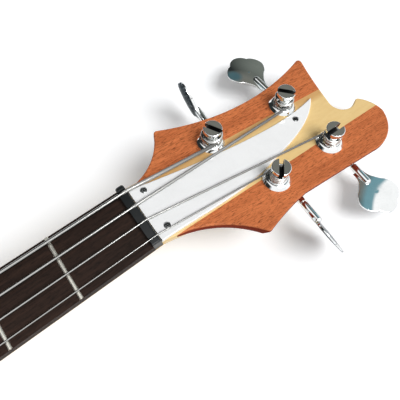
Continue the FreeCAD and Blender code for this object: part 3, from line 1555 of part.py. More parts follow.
# Strings from the bridge over the nut to the posts, and their turns on the posts
QUARTERS = 4
ARC_SAMPLES = 8
least_gap = []
for letter in STRINGS:
    side = SIDES[letter]
    radius = string_radius[letter]
    ring = size("post_waist_radius") + radius + size("screw_clearance")
    step = 2 * radius + size("winding_gap")
    low = size("post_waist_start") + radius + size("screw_clearance")
    count = int(TURN_COUNTS[letter] * QUARTERS)
    points = []
    ways = []
    for place in range(count + 1):
        turn = side * (place * math.pi / 2 - math.pi / 2)
        points.append(V(ring * math.cos(turn), ring * math.sin(turn), low + step * place / QUARTERS))
        rise = V(-math.sin(turn) * ring * side, math.cos(turn) * ring * side, step / (2 * math.pi))
        ways.append(rise.normalize())
    coil = tube(biarcs(points, ways), radius)
    finished(solid_feature("winding_" + letter, placed(coil, POSTS[letter])), "winding_" + letter)
    samples = []
    for edge in biarcs(points, ways):
        samples += edge.discretize(ARC_SAMPLES + 1)[:-1]
    half_turn = ARC_SAMPLES * QUARTERS
    gaps = [(first - second).Length - 2 * radius
            for here, first in enumerate(samples) for second in samples[here + half_turn:]]
    least_gap.append(min(gaps))

    touch = POSTS[letter].multVec(V(0, -side * ring, low))
    start = nut_point[letter]
    way = (touch - start).normalize()
    sweep = 2 * math.sqrt(ring * radius) + size("open_gap") + radius
    end = touch - way * sweep
    saddle = string_at(letter, -size("saddle_travel + string_break"))
    wall = V(-size("bridge_wall"), saddle.y, size("body_thickness + string_hole_rise"))
    tail = wall - (saddle - wall).normalize() * size("ball_length")
    line = tube(rounded_path([tail, saddle, start, end], size("string_bend_radius")), radius)
    ball = rod(tail, tail + ALONG * (size("ball_length") - size("string_hole_gap")), size("ball_radius"))
    ball = ball.cut(line)
    finished(solid_feature("string_" + letter, Part.makeCompound([line, ball])), "string_" + letter)
print("least gap between turns", [round(gap, 3) for gap in least_gap])

# Bridge
bridge = new_body("bridge")
sketch = new_sketch(bridge, "bridge_side", "XZ_Plane")
polygon(sketch, [
    ("-bridge_wall", "body_thickness"), ("bridge_front", "body_thickness"),
    ("bridge_front", "body_thickness + bridge_thickness"),
    ("-bridge_wall + bridge_wall_thickness", "body_thickness + bridge_thickness"),
    ("-bridge_wall + bridge_wall_thickness", "body_thickness + bridge_height"),
    ("-bridge_wall", "body_thickness + bridge_height"),
])
angle = pad(bridge, sketch, "bridge_angle", "bridge_width", True)


def bridge_corner(edge):
    box = edge.BoundBox
    upright = box.ZLength > size("bridge_thickness") / 2 and box.XLength + box.YLength < over
    return upright and box.XMin > 0


corner_round = fillet(bridge, angle, "bridge_corner", "bridge_corner_radius", bridge_corner)


def bridge_rim(edge):
    box = edge.BoundBox
    high = size("body_thickness + bridge_height")
    return box.ZMin > high - size("bridge_thickness * slack_share")


fillet(bridge, corner_round, "bridge_round", "bridge_edge_radius", bridge_rim)
bridge_tools = screw_holes("bridge", bridge_screw_places, "overrun")
for letter in STRINGS:
    y = saddle_point[letter].y
    level = size("body_thickness + string_hole_rise")
    way = ALONG * over
    middle = V(-size("bridge_wall"), y, level)
    bridge_tools.append(rod(middle - way, middle + way,
                            string_radius[letter] + 2 * size("string_hole_gap")))
    middle = V(-size("bridge_wall"), y, size("body_thickness + bridge_thickness + intonation_rise"))
    bridge_tools.append(rod(middle - way, middle + way, size("intonation_radius + running_clearance")))
bridge_rooms = solid_feature("bridge_rooms", Part.makeCompound(bridge_tools))
finished(cut("bridge_cut", bridge, bridge_rooms), "bridge_plate")
group("bridge_screws", [placed(bridge_screw.Shape, place) for place in bridge_screw_places])

intonation = []
plate_top = size("body_thickness + bridge_thickness")
for letter in STRINGS:
    y = saddle_point[letter].y
    crest = saddle_point[letter].z - string_radius[letter] - size("saddle_gap")
    foot = plate_top + size("saddle_bottom")
    half = size("saddle_width") / 2
    front = size("saddle_front")
    back = -size("saddle_back")
    shoulder = crest - size("saddle_shoulder")
    flat = size("saddle_crest") / 2
    block = prism([V(back, y - half, foot), V(front, y - half, foot), V(front, y - half, shoulder),
                   V(flat, y - half, crest), V(-flat, y - half, crest), V(back, y - half, shoulder)],
                  ACROSS * size("saddle_width"))
    level = plate_top + size("intonation_rise")
    bore = rod(V(back - over, y, level), V(front + over, y, level),
               size("intonation_radius + running_clearance"))
    screws = []
    tools = [bore]
    for edge_side in (1, -1):
        spot = V(back * size("saddle_screw_share"), y + edge_side * size("saddle_screw_offset"),
                 plate_top + size("running_clearance"))
        high = crest - size("saddle_screw_rise")
        screws.append(rod(spot, V(spot.x, spot.y, high), size("saddle_screw_radius")))
        tools.append(rod(spot - UP * over, V(spot.x, spot.y, crest + over),
                         size("saddle_screw_radius + screw_clearance")))
    carved = block.cut(tools)
    finished(solid_feature("saddle_" + letter, Part.makeCompound([carved] + screws)), "saddle_" + letter)
    neck = V(-size("bridge_wall"), y, level)
    head = rod(neck - ALONG * size("intonation_head_height"), neck, size("intonation_head_radius"))
    stalk = rod(neck, V(size("intonation_reach"), y, level), size("intonation_radius"))
    slot = Part.makeBox(size("intonation_head_height") / 2, 2 * over, size("small_drive_width"),
                        V(-size("bridge_wall + intonation_head_height"), y - over,
                          level - size("small_drive_width") / 2))
    intonation.append(head.fuse(stalk).cut(slot))
group("intonation_screws", intonation)

# Pickups
covers = []
poles = []
coils = []
for x in pickup_places:
    long = size("pickup_length")
    wide = size("pickup_width")
    wall = size("pickup_wall")
    floor = size("pickup_floor")
    tall = size("pickup_top") - floor
    shell = Part.makeBox(long, wide, tall, V(x - long / 2, -wide / 2, floor))
    upright = [edge for edge in shell.Edges if edge.BoundBox.ZLength > tall / 2]
    shell = shell.makeFillet(size("pickup_corner_radius"), upright)
    level = size("pickup_top - pickup_wall * slack_share")
    crest = [edge for edge in shell.Edges if edge.BoundBox.ZMin > level]
    shell = shell.makeFillet(size("pickup_edge_radius"), crest)
    coil_long = size("coil_length")
    coil_wide = size("coil_width")
    room = Part.makeBox(coil_long + wall, coil_wide + wall, tall - wall,
                        V(x - coil_long / 2 - wall / 2, -coil_wide / 2 - wall / 2, floor))
    tools = [room]
    holes = []
    for letter in STRINGS:
        y = string_at(letter, x).y
        for offset in (size("pole_offset"), -size("pole_offset")):
            spot = V(x, y + offset, floor + wall)
            poles.append(rod(spot, V(x, y + offset, size("pickup_top + pole_rise")), size("pole_radius")))
            holes.append(rod(spot, V(x, y + offset, size("pickup_top") + over),
                             size("pole_radius + screw_clearance")))
    coil = capsule(V(x, -coil_wide / 2 + coil_long / 2, 0), V(x, coil_wide / 2 - coil_long / 2, 0),
                   coil_long / 2, floor, tall - wall - size("screw_clearance"))
    tools += holes
    tools += screw_holes("pickup", [p for p in pickup_screw_places if p.Base.x == x], "overrun")
    for place in pickup_screw_places:
        if place.Base.x == x:
            spot = V(place.Base.x, place.Base.y, floor - over)
            tools.append(rod(spot, spot + UP * (tall + 2 * over),
                             size("pickup_screw_radius + screw_clearance")))
    covers.append(shell.cut(tools))
    coils.append(coil.cut(holes))
group("pickup_covers", covers)
group("pickup_poles", poles)
group("pickup_coils", coils)
group("pickup_screws", [placed(pickup_screw.Shape, place) for place in pickup_screw_places])

# Controls: potentiometers, knobs, output jack and the cover on the back
pot = turned("pot", [
    ("0", "cavity_top - pot_depth"),
    ("pot_radius", "cavity_top - pot_depth"),
    ("pot_radius", "cavity_top"),
    ("pot_bushing_radius", "cavity_top"),
    ("pot_bushing_radius", "body_thickness"),
    ("pot_nut_radius", "body_thickness"),
    ("pot_nut_radius", "body_thickness + pot_nut_height"),
    ("pot_bushing_radius", "body_thickness + pot_nut_height"),
    ("pot_bushing_radius", "body_thickness + pot_bushing_rise"),
    ("pot_shaft_radius + running_clearance", "body_thickness + pot_bushing_rise"),
    ("pot_shaft_radius + running_clearance", "cavity_top - pot_depth + pot_floor"),
    ("0", "cavity_top - pot_depth + pot_floor"),
])
knob = turned("knob", [
    ("pot_shaft_radius + screw_clearance", "body_thickness + knob_lift + knob_recess_height"),
    ("knob_recess_radius", "body_thickness + knob_lift + knob_recess_height"),
    ("knob_recess_radius", "body_thickness + knob_lift"),
    ("knob_radius", "body_thickness + knob_lift"),
    ("knob_top_radius", "body_thickness + knob_lift + knob_height"),
    ("0", "body_thickness + knob_lift + knob_height"),
    ("0", "body_thickness + pot_shaft_rise + screw_clearance"),
    ("pot_shaft_radius + screw_clearance", "body_thickness + pot_shaft_rise + screw_clearance"),
])
fillet(knob, knob.Tip, "knob_round", "knob_edge_radius",
       ring_edge("knob_top_radius", "body_thickness + knob_lift + knob_height"))
sketch = new_sketch(knob, "knob_flute", "XY_Plane", "body_thickness + knob_lift - overrun")
circle(sketch, "knob_radius + knob_flute_radius * knob_flute_share", "0", "knob_flute_radius")
flute = pocket(knob, sketch, "knob_flute_cut", "knob_height + overrun - knob_band", False, True)
around(knob, flute, "knob_flute_ring", int(size("knob_flutes")))
sketch = new_sketch(knob, "knob_mark", "XY_Plane", "body_thickness + knob_lift + knob_height")
polygon(sketch, [
    ("knob_top_radius * knob_mark_share", "-knob_mark_width / 2"),
    ("knob_top_radius + overrun", "-knob_mark_width / 2"),
    ("knob_top_radius + overrun", "knob_mark_width / 2"),
    ("knob_top_radius * knob_mark_share", "knob_mark_width / 2"),
])
pocket(knob, sketch, "knob_mark_cut", "knob_mark_depth")

pots = []
for label, spot in zip(("volume_knob_neck", "volume_knob_bridge", "tone_knob"), pot_places):
    there = FreeCAD.Placement(spot, FreeCAD.Rotation(UP, size("knob_turn")))
    pots.append(placed(pot.Shape, there))
    foot = size("cavity_top - pot_depth + pot_floor + running_clearance")
    axle = Part.makeCylinder(size("pot_shaft_radius"), size("body_thickness + pot_shaft_rise") - foot,
                             V(spot.x, spot.y, foot))
    finished(solid_feature(label, Part.makeCompound([placed(knob.Shape, there), axle])), label)
group("potentiometers", pots)

slab = capsule(first_control, last_control, size("control_cover_radius"), 0,
               size("control_cover_thickness"))
tools = screw_holes("small", control_screw_places)
for place in control_screw_places:
    tools.append(Part.makeCylinder(size("small_head_radius + screw_clearance"),
                                   size("small_head_height") + over,
                                   V(place.Base.x, place.Base.y, -over)))
finished(solid_feature("control_cover", slab.cut(tools)), "control_cover")

jack = turned("jack", [
    ("jack_bore_radius", "cavity_top - jack_depth"),
    ("jack_thread_radius", "cavity_top - jack_depth"),
    ("jack_thread_radius", "cavity_top - jack_flange_height"),
    ("jack_flange_radius", "cavity_top - jack_flange_height"),
    ("jack_flange_radius", "cavity_top"),
    ("jack_thread_radius", "cavity_top"),
    ("jack_thread_radius", "body_thickness + jack_rise"),
    ("jack_bore_radius", "body_thickness + jack_rise"),
])
jack.Placement = FreeCAD.Placement(jack_place, FreeCAD.Rotation())
doc.recompute()
finished(jack, "jack_socket")
jack_nut = new_body("jack_nut")
sketch = new_sketch(jack_nut, "jack_washer_plan", "XY_Plane", "body_thickness")
circle(sketch, "0", "0", "jack_washer_radius")
circle(sketch, "0", "0", "jack_thread_radius + screw_clearance")
pad(jack_nut, sketch, "jack_washer", "jack_washer_height")
sketch = new_sketch(jack_nut, "jack_nut_plan", "XY_Plane", "body_thickness + jack_washer_height")
polygon(sketch, hexagon("jack_nut_radius"))
circle(sketch, "0", "0", "jack_thread_radius + screw_clearance")
pad(jack_nut, sketch, "jack_nut_hex", "jack_nut_height")
jack_nut.Placement = FreeCAD.Placement(jack_place, FreeCAD.Rotation())
doc.recompute()
finished(jack_nut, "jack_nut")

# Strap buttons with their screws
button = turned("button", [
    ("button_screw_radius + screw_clearance", "0"),
    ("button_base_radius", "0"),
    ("button_base_radius", "button_flange"),
    ("button_neck_radius", "button_height / 2"),
    ("button_head_radius", "button_height - button_flange"),
    ("button_head_radius", "button_height"),
    ("button_screw_head_radius + screw_clearance", "button_height"),
    ("button_screw_head_radius + screw_clearance", "button_height - button_screw_head_height"),
    ("button_screw_radius + screw_clearance", "button_height - button_screw_head_height"),
])
fillet(button, button.Tip, "button_round", "button_round",
       ring_edge("button_head_radius", "button_height"))
button_screw = turned("button_screw", [
    ("0", "-button_screw_length"),
    ("button_screw_radius", "-button_screw_length + button_screw_radius"),
    ("button_screw_radius", "button_height - button_screw_head_height"),
    ("button_screw_head_radius", "button_height - button_screw_head_height"),
    ("button_screw_head_radius", "button_height - button_screw_head_height / 2"),
    ("button_screw_radius", "button_height"),
    ("0", "button_height"),
])
group("strap_buttons", [placed(piece.Shape, place) for place in (tail_button, horn_button)
                        for piece in (button, button_screw)])

# Check and write every sub-part
doc.recompute()
for thing in doc.Objects:
    if "Invalid" in thing.State or "Error" in thing.State:
        raise RuntimeError("%s is not sound: %s" % (thing.Name, thing.State))
os.makedirs("parts", exist_ok=True)
for part in parts:
    shape = part.Shape
    if shape.isNull() or not shape.isValid() or not shape.Solids:
        raise RuntimeError("%s has no sound solid" % part.Label)
    shape.exportStep("parts/%s.step" % part.Label)
print("wrote", len(parts), "sub-parts")
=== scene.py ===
import math

import bmesh
import bpy
from bpy.props import FloatProperty, FloatVectorProperty, IntProperty, PointerProperty
from mathutils import Matrix, Vector


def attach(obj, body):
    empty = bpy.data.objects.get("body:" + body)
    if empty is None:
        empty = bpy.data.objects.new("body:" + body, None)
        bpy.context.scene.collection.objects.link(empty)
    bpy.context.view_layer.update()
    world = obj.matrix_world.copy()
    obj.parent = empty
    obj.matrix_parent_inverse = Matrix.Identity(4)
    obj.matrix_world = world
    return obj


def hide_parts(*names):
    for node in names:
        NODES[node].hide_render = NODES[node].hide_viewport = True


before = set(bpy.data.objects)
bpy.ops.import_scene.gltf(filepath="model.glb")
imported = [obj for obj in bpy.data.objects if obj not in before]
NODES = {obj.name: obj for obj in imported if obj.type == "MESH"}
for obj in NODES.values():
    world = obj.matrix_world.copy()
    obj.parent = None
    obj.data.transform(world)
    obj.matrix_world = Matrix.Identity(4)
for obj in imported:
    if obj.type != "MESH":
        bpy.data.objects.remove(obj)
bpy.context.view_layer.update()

bl_info = {
    "name": "Electric bass",
    "version": (1, 0, 0),
    "blender": (4, 5, 0),
    "location": "View3D > Sidebar > Bass",
    "description": "Dresses a four string electric bass around its construction model",
    "category": "Object",
}

STRINGS = ("e", "a", "d", "g")
ALONG = Vector((1.0, 0.0, 0.0))
ACROSS = Vector((0.0, 1.0, 0.0))
UP = Vector((0.0, 0.0, 1.0))
# Where tones fade: the painted shade below the headstock face, along and across the warm strip, and before
# the nut.
EDGE_START, EDGE_END = 0.0006, 0.0016
STRIP_FADE_ALONG, STRIP_FADE_ACROSS = 0.01, 0.004
NUT_FADE = (-0.004, -0.001)
# The lit side of a string beyond the nut.
STRING_FACE = (-0.28, -0.37, 0.88)
# How much of its length behind the bridge a ball fills.
BALL_SHARE = 0.92
# Roughness of clean and of handled chrome, from the clear to the marked places.
CLEAN_CHROME = (0.03, 0.09)
HANDLED_CHROME = (0.05, 0.14)
# Depth of fine turning lines.
FINE_LINES = 0.00001


def length(name, description, default):
    return FloatProperty(name=name, description=description, default=default, unit="LENGTH", precision=5)


def angle(name, description, degrees):
    return FloatProperty(name=name, description=description, default=math.radians(degrees), subtype="ANGLE")


def colour(name, description, default):
    return FloatVectorProperty(name=name, description=description, default=default,
                               subtype="COLOR", size=3, min=0.0, max=1.0)


def factor(name, description, default):
    return FloatProperty(name=name, description=description, default=default,
                         subtype="FACTOR", min=0.0, max=1.0)


def position(name, description, default):
    return FloatVectorProperty(name=name, description=description, default=default, size=len(default),
                               unit="LENGTH", precision=5)


def direction(name, description, default):
    return FloatVectorProperty(name=name, description=description, default=default, size=3,
                               subtype="DIRECTION", precision=5)


def rim(name, description, default):
    return FloatVectorProperty(name=name, description=description, default=default, size=2,
                               min=-1.0, max=1.0, precision=5)


class BassStringSizes(bpy.types.PropertyGroup):
    """Where the strings run and how thick they are."""
    nut_along: length("Nut", "Front of the nut from the saddle line", 0.8695)
    nut_level: length("Nut level", "Height of the string rests in the middle of the nut", 0.0617)
    nut_spread: length("Nut spread", "From the first to the last string at the nut", 0.0332)
    saddle_level: length("Saddle level", "Height of the string rests in the middle of the bridge", 0.0655)
    saddle_spread: length("Saddle spread", "From the first to the last string at the saddles", 0.057)
    saddle_bend: length("Saddle bend", "Where a string turns down behind its saddle", 0.006)
    board_radius: length("Board radius", "Round of the fingerboard across its width", 0.305)
    wall_along: length("Bridge wall", "Back face of the bridge from the saddle line", 0.046)
    wall_level: length("String holes", "Height of the holes in the bridge wall", 0.0584)
    ball_length: length("Ball length", "Length of the ball end of a string", 0.005)
    ball_radius: length("Ball radius", "Radius of the ball end of a string", 0.0026)
    bend_radius: length("Bend radius", "Round of a string where it turns over a rest", 0.012)
    gauge_e: length("E string", "Thickness of the E string", 0.00241)
    gauge_a: length("A string", "Thickness of the A string", 0.00191)
    gauge_d: length("D string", "Thickness of the D string", 0.0014)
    gauge_g: length("G string", "Thickness of the G string", 0.00102)
    wrap_share: factor("Wrap share", "Thickness of the wrap wire as a share of the string", 0.26)
    sides: IntProperty(name="Sides", description="Faces round a string", default=20, min=8, max=48)


class BassTunerSizes(bpy.types.PropertyGroup):
    """Where the tuner posts stand on the headstock."""
    head_along: length("Headstock start", "Where the headstock leaves the nut", 0.8695)
    head_level: length("Headstock level", "Height of the headstock face at the nut", 0.0585)
    head_angle: angle("Headstock angle", "Tilt of the headstock", 12.1)
    maple_strip: length("Maple strip", "Where the warm strip of the headstock starts across it", 0.0105)
    post_e: position("E post", "Along and across the headstock", (0.0627, 0.0207))
    post_a: position("A post", "Along and across the headstock", (0.1201, 0.0194))
    post_d: position("D post", "Along and across the headstock", (0.1279, -0.0200))
    post_g: position("G post", "Along and across the headstock", (0.0814, -0.0236))
    turns_e: FloatProperty(name="E turns", description="Turns of the E string on its post", default=1.5)
    turns_a: FloatProperty(name="A turns", description="Turns of the A string on its post", default=1.75)
    turns_d: FloatProperty(name="D turns", description="Turns of the D string on its post", default=2.5)
    turns_g: FloatProperty(name="G turns", description="Turns of the G string on its post", default=3.5)
    waist_radius: length("Post waist", "Radius of a post where the string winds", 0.0046)
    waist_level: length("Waist level", "Where the waist of a post starts above the headstock", 0.0044)
    winding_gap: length("Winding gap", "Room between the turns of a string", 0.0005)
    seat_gap: length("Seat gap", "Room between a string and its post", 0.00005)
    steps: IntProperty(name="Steps", description="Faces along one turn of a string", default=48,
                       min=12, max=96)
    slot_width: length("Slot width", "Width of the slot in the head of a post", 0.003)
    slot_floor: length("Slot floor", "Height of the floor of the slot above the headstock", 0.0086)
    post_top: length("Post top", "Height of a post above the headstock", 0.0151)
    slot_e: angle("E slot", "Turn of the slot of the E post", -58.0)
    slot_a: angle("A slot", "Turn of the slot of the A post", -43.5)
    slot_d: angle("D slot", "Turn of the slot of the D post", 3.7)
    slot_g: angle("G slot", "Turn of the slot of the G post", 51.0)
    turn_e: angle("E tuner", "Turn of the E tuner about its post", -4.5)
    turn_a: angle("A tuner", "Turn of the A tuner about its post", 4.0)
    turn_d: angle("D tuner", "Turn of the D tuner about its post", 0.0)
    turn_g: angle("G tuner", "Turn of the G tuner about its post", 0.0)
    leaf_e: angle("E leaf", "Lean of the leaf of the E key", 77.0)
    leaf_a: angle("A leaf", "Lean of the leaf of the A key", 6.0)
    leaf_d: angle("D leaf", "Lean of the leaf of the D key", 3.0)
    leaf_g: angle("G leaf", "Lean of the leaf of the G key", 60.0)
    leaf_start: length("Leaf start", "Where the leaf of a key starts, from its post", 0.033)


class BassColours(bpy.types.PropertyGroup):
    """Colours of the woods, plastics and metals."""
    red_pale: colour("Red wood, pale", "Pale streaks of the red wood", (0.70, 0.216, 0.075))
    red_deep: colour("Red wood, deep", "Deep streaks of the red wood", (0.362, 0.089, 0.028))
    red_pore: colour("Red wood, pores", "Pores of the red wood", (0.13, 0.030, 0.011))
    red_edge_shade: colour("Red wood, painted edge shade", "Painted shade on the edge of the headstock", (0.40, 0.16, 0.12))
    maple_pale: colour("Maple, pale", "Pale streaks of the maple", (0.80, 0.59, 0.275))
    maple_deep: colour("Maple, deep", "Deep streaks of the maple", (0.69, 0.45, 0.17))
    maple_pore: colour("Maple, flecks", "Flecks of the maple", (0.55, 0.32, 0.12))
    maple_warm: colour("Maple, warm", "Deeper tone of the maple towards the bass side of the headstock", (0.80, 0.66, 0.58))
    dark_pale: colour("Dark wood, pale", "Pale streaks of the dark wood", (0.041, 0.023, 0.017))
    dark_deep: colour("Dark wood, deep", "Deep streaks of the dark wood", (0.010, 0.008, 0.007))
    dark_pore: colour("Dark wood, pores", "Pores of the dark wood", (0.003, 0.003, 0.003))
    white: colour("White plastic", "Gloss sheet of the rod cover", (0.88, 0.89, 0.893))
    black: colour("Black plastic", "Nut, pickup covers and back cover", (0.010, 0.012, 0.013))
    pearl: colour("Pearl", "Dots in the fingerboard", (0.78, 0.76, 0.70))
    chrome: colour("Chrome", "Plated hardware", (0.945, 0.965, 0.965))
    steel: colour("Steel", "Screws, poles and rods", (0.62, 0.61, 0.59))
    recess_shade_steel: colour("Dark steel", "Screws of the covers, painted dark as the shade of their recesses", (0.12, 0.125, 0.125))
    fret: colour("Fret wire", "Nickel silver of the frets", (0.92, 0.89, 0.80))
    wire: colour("String wire", "Wrap wire of the strings", (0.62, 0.62, 0.60))
    brass: colour("Brass", "Gears and ball ends", (0.78, 0.58, 0.27))
    coil: colour("Coil wire", "Lacquered wire in the pickups", (0.25, 0.08, 0.03))


class BassStage(bpy.types.PropertyGroup):
    """Camera, lamps and floor."""
    camera_place: position("Camera", "Place of the camera", (0.8639, -0.1183, 0.3341))
    camera_right: direction("Camera right", "Right hand direction of the view", (0.8187, -0.5645, -0.1055))
    camera_up: direction("Camera up", "Upward direction of the view", (0.5604, 0.7451, 0.3616))
    lens: FloatProperty(name="Lens", description="Focal length on a 36 mm sensor", default=46.15,
                        min=10.0, max=200.0)
    lamp_way: direction("Lamp", "Direction of the main lamp from the headstock", (0.36, -0.48, 0.80))
    lamp_spread: angle("Lamp spread", "Width of the main lamp as seen from the floor", 34.0)
    lamp_power: FloatProperty(name="Lamp power", description="Strength of the main lamp", default=2.85)
    surround: FloatProperty(name="Surround", description="Brightness of the room", default=0.27)
    floor: colour("Floor", "Colour of the floor", (0.90, 0.913, 0.928))
    floor_glow: factor("Floor glow", "Glow that keeps the open floor white", 0.20)
    floor_side: length("Floor side", "Side of the floor", 8.0)
    grey_way: direction("Grey panel", "Direction of the grey panel overhead", (0.651, 0.364, 0.666))
    grey_rim: rim("Grey panel rim", "Cosines between which the panel fades in", (0.966, 0.987))
    green_way: direction("Green panel", "Direction of the grey-green wall", (0.85, 0.44, 0.28))
    green_rim: rim("Green panel rim", "Cosines between which the wall fades in", (0.945, 0.998))
    teal_way: direction("Teal panel", "Direction of the small teal panel", (0.635, 0.51, 0.58))
    teal_rim: rim("Teal panel rim", "Cosines between which the panel fades in", (0.9962, 0.9992))
    window_way: direction("Window", "Direction of the window with its teal frame", (0.848, -0.349, 0.399))
    frame_rim: rim("Window frame rim", "Cosines between which the teal frame fades in", (0.775, 0.81))
    window_rim: rim("Window rim", "Cosines between which the window fades in", (0.845, 0.859))
    bright_way: direction("Bright side", "Side of the room with the white walls", (-0.5145, -0.8575, 0.0))
    bright_rim: rim("Bright side rim", "Cosines between which the white walls fade in", (-0.36, -0.22))
    shade_way: direction("Dark corner", "Direction of the dark corner of the room", (-0.92, 0.30, 0.25))
    shade_rim: rim("Dark corner rim", "Cosines between which the corner fades in", (0.70, 0.86))
    white_room: colour("White walls", "Colour of the bright side of the room", (1.0, 1.0, 1.0))
    dark_room: colour("Dark walls", "Colour of the dark side of the room", (0.022, 0.026, 0.026))
    grey_panel: colour("Grey panel tone", "Colour of the grey panel", (0.167, 0.167, 0.148))
    green_panel: colour("Green panel tone", "Colour of the grey-green wall", (0.178, 0.197, 0.175))
    teal_panel: colour("Teal panel tone", "Colour of the teal panels", (0.167, 0.324, 0.372))


# Node building


def add_node(tree, kind, **values):
    """A shader node with its settings."""
    made = tree.nodes.new(kind)
    for name, value in values.items():
        setattr(made, name, value)
    return made


def feed(tree, socket, value):
    """Give a socket a fixed value, or link another socket to it."""
    if isinstance(value, bpy.types.NodeSocket):
        tree.links.new(value, socket)
    else:
        socket.default_value = value


def new_group(name, inputs, outputs):
    """An empty shader node group with named sockets."""
    group = bpy.data.node_groups.new(name, "ShaderNodeTree")
    for label, kind, default in inputs:
        socket = group.interface.new_socket(name=label, in_out="INPUT", socket_type=kind)
        if default is not None:
            socket.default_value = default
    for label, kind in outputs:
        group.interface.new_socket(name=label, in_out="OUTPUT", socket_type=kind)
    return group, group.nodes.new("NodeGroupInput"), group.nodes.new("NodeGroupOutput")


def scaled(tree, vector, factors):
    """A coordinate stretched by fixed factors."""
    made = add_node(tree, "ShaderNodeVectorMath", operation="MULTIPLY")
    tree.links.new(vector, made.inputs[0])
    made.inputs[1].default_value = factors
    return made.outputs[0]


def noise(tree, vector, scale, detail, roughness=0.5, distortion=0.0):
    made = add_node(tree, "ShaderNodeTexNoise")
    tree.links.new(vector, made.inputs["Vector"])
    made.inputs["Scale"].default_value = scale
    made.inputs["Detail"].default_value = detail
    made.inputs["Roughness"].default_value = roughness
    made.inputs["Distortion"].default_value = distortion
    return made.outputs["Fac"]


def ranged(tree, value, low, high, to_low=0.0, to_high=1.0):
    """A value spread from one range to another, held at its ends."""
    made = add_node(tree, "ShaderNodeMapRange")
    tree.links.new(value, made.inputs["Value"])
    made.inputs["From Min"].default_value = low
    made.inputs["From Max"].default_value = high
    feed(tree, made.inputs["To Min"], to_low)
    feed(tree, made.inputs["To Max"], to_high)
    return made.outputs["Result"]


def worked(tree, operation, first, second=0.0):
    """What a math operation makes of two values."""
    made = add_node(tree, "ShaderNodeMath", operation=operation)
    feed(tree, made.inputs[0], first)
    feed(tree, made.inputs[1], second)
    return made.outputs[0]


def mixed(tree, share, first, second, blend="MIX"):
    """Two colours mixed by a share."""
    made = add_node(tree, "ShaderNodeMix", data_type="RGBA", blend_type=blend)
    for place, value in ((0, share), (6, first), (7, second)):
        feed(tree, made.inputs[place], value)
    return made.outputs[2]


def open_rays(tree):
    """One for the rays that see the open background, from the camera or by way of metal or glass."""
    path = add_node(tree, "ShaderNodeLightPath")
    seen = worked(tree, "MAXIMUM", path.outputs["Is Camera Ray"], path.outputs["Is Glossy Ray"])
    return worked(tree, "MAXIMUM", seen, path.outputs["Is Transmission Ray"])


def towards(tree, vector, way, low, high):
    """How far a direction points along another one, as a share between two cosines."""
    made = add_node(tree, "ShaderNodeVectorMath", operation="DOT_PRODUCT")
    tree.links.new(vector, made.inputs[0])
    made.inputs[1].default_value = Vector(way).normalized()
    return ranged(tree, made.outputs["Value"], low, high)


def grain_group():
    """Streaks and pores that run along X, for every wood."""
    group, start, end = new_group("Wood grain", [
        ("Vector", "NodeSocketVector", None),
        ("Pale", "NodeSocketColor", None),
        ("Deep", "NodeSocketColor", None),
        ("Pore", "NodeSocketColor", None),
        ("Streak", "NodeSocketFloat", 0.7),
        ("Pores", "NodeSocketFloat", 0.5),
        ("Fineness", "NodeSocketFloat", 1.0),
    ], [("Color", "NodeSocketColor"), ("Height", "NodeSocketFloat"), ("Roughness", "NodeSocketFloat")])
    size = add_node(group, "ShaderNodeVectorMath", operation="SCALE")
    group.links.new(start.outputs["Vector"], size.inputs[0])
    group.links.new(start.outputs["Fineness"], size.inputs["Scale"])
    place = size.outputs[0]
    fibres = scaled(group, place, (22.0, 520.0, 520.0))
    streak = ranged(group, noise(group, fibres, 1.0, 6.0, 0.66, 0.4), 0.36, 0.66)
    bands = scaled(group, place, (5.0, 46.0, 46.0))
    broad = ranged(group, noise(group, bands, 1.0, 3.0, 0.5, 0.8), 0.3, 0.7)
    share = worked(group, "ADD", worked(group, "MULTIPLY", streak, 0.6),
                   worked(group, "MULTIPLY", broad, 0.4))
    share = worked(group, "MULTIPLY", share, start.outputs["Streak"])
    wood = mixed(group, share, start.outputs["Pale"], start.outputs["Deep"])
    fleck = noise(group, scaled(group, place, (260.0, 1500.0, 1500.0)), 1.0, 4.0, 0.7)
    pores = ranged(group, fleck, 0.50, 0.66)
    pores = worked(group, "MULTIPLY", pores, start.outputs["Pores"])
    wood = mixed(group, pores, wood, start.outputs["Pore"])
    group.links.new(wood, end.inputs["Color"])
    height = worked(group, "SUBTRACT", worked(group, "MULTIPLY", streak, 0.2), pores)
    group.links.new(height, end.inputs["Height"])
    rough = worked(group, "ADD", ranged(group, broad, 0.0, 1.0, 0.0, 0.08),
                   worked(group, "MULTIPLY", pores, 0.2))
    group.links.new(rough, end.inputs["Roughness"])
    return group


def smudge_group():
    """Faint handling marks and dust for plated and gloss surfaces."""
    group, start, end = new_group("Handling marks", [
        ("Vector", "NodeSocketVector", None),
        ("Least", "NodeSocketFloat", 0.04),
        ("Most", "NodeSocketFloat", 0.12),
    ], [("Mask", "NodeSocketFloat"), ("Roughness", "NodeSocketFloat")])
    cloud = noise(group, scaled(group, start.outputs["Vector"], (90.0, 90.0, 90.0)), 1.0, 4.0, 0.6, 0.6)
    fine = noise(group, scaled(group, start.outputs["Vector"], (900.0, 900.0, 900.0)), 1.0, 3.0, 0.6)
    mask = ranged(group, worked(group, "ADD", worked(group, "MULTIPLY", cloud, 0.7),
                                worked(group, "MULTIPLY", fine, 0.3)), 0.42, 0.68)
    group.links.new(mask, end.inputs["Mask"])
    rough = ranged(group, mask, 0.0, 1.0, start.outputs["Least"], start.outputs["Most"])
    group.links.new(rough, end.inputs["Roughness"])
    return group


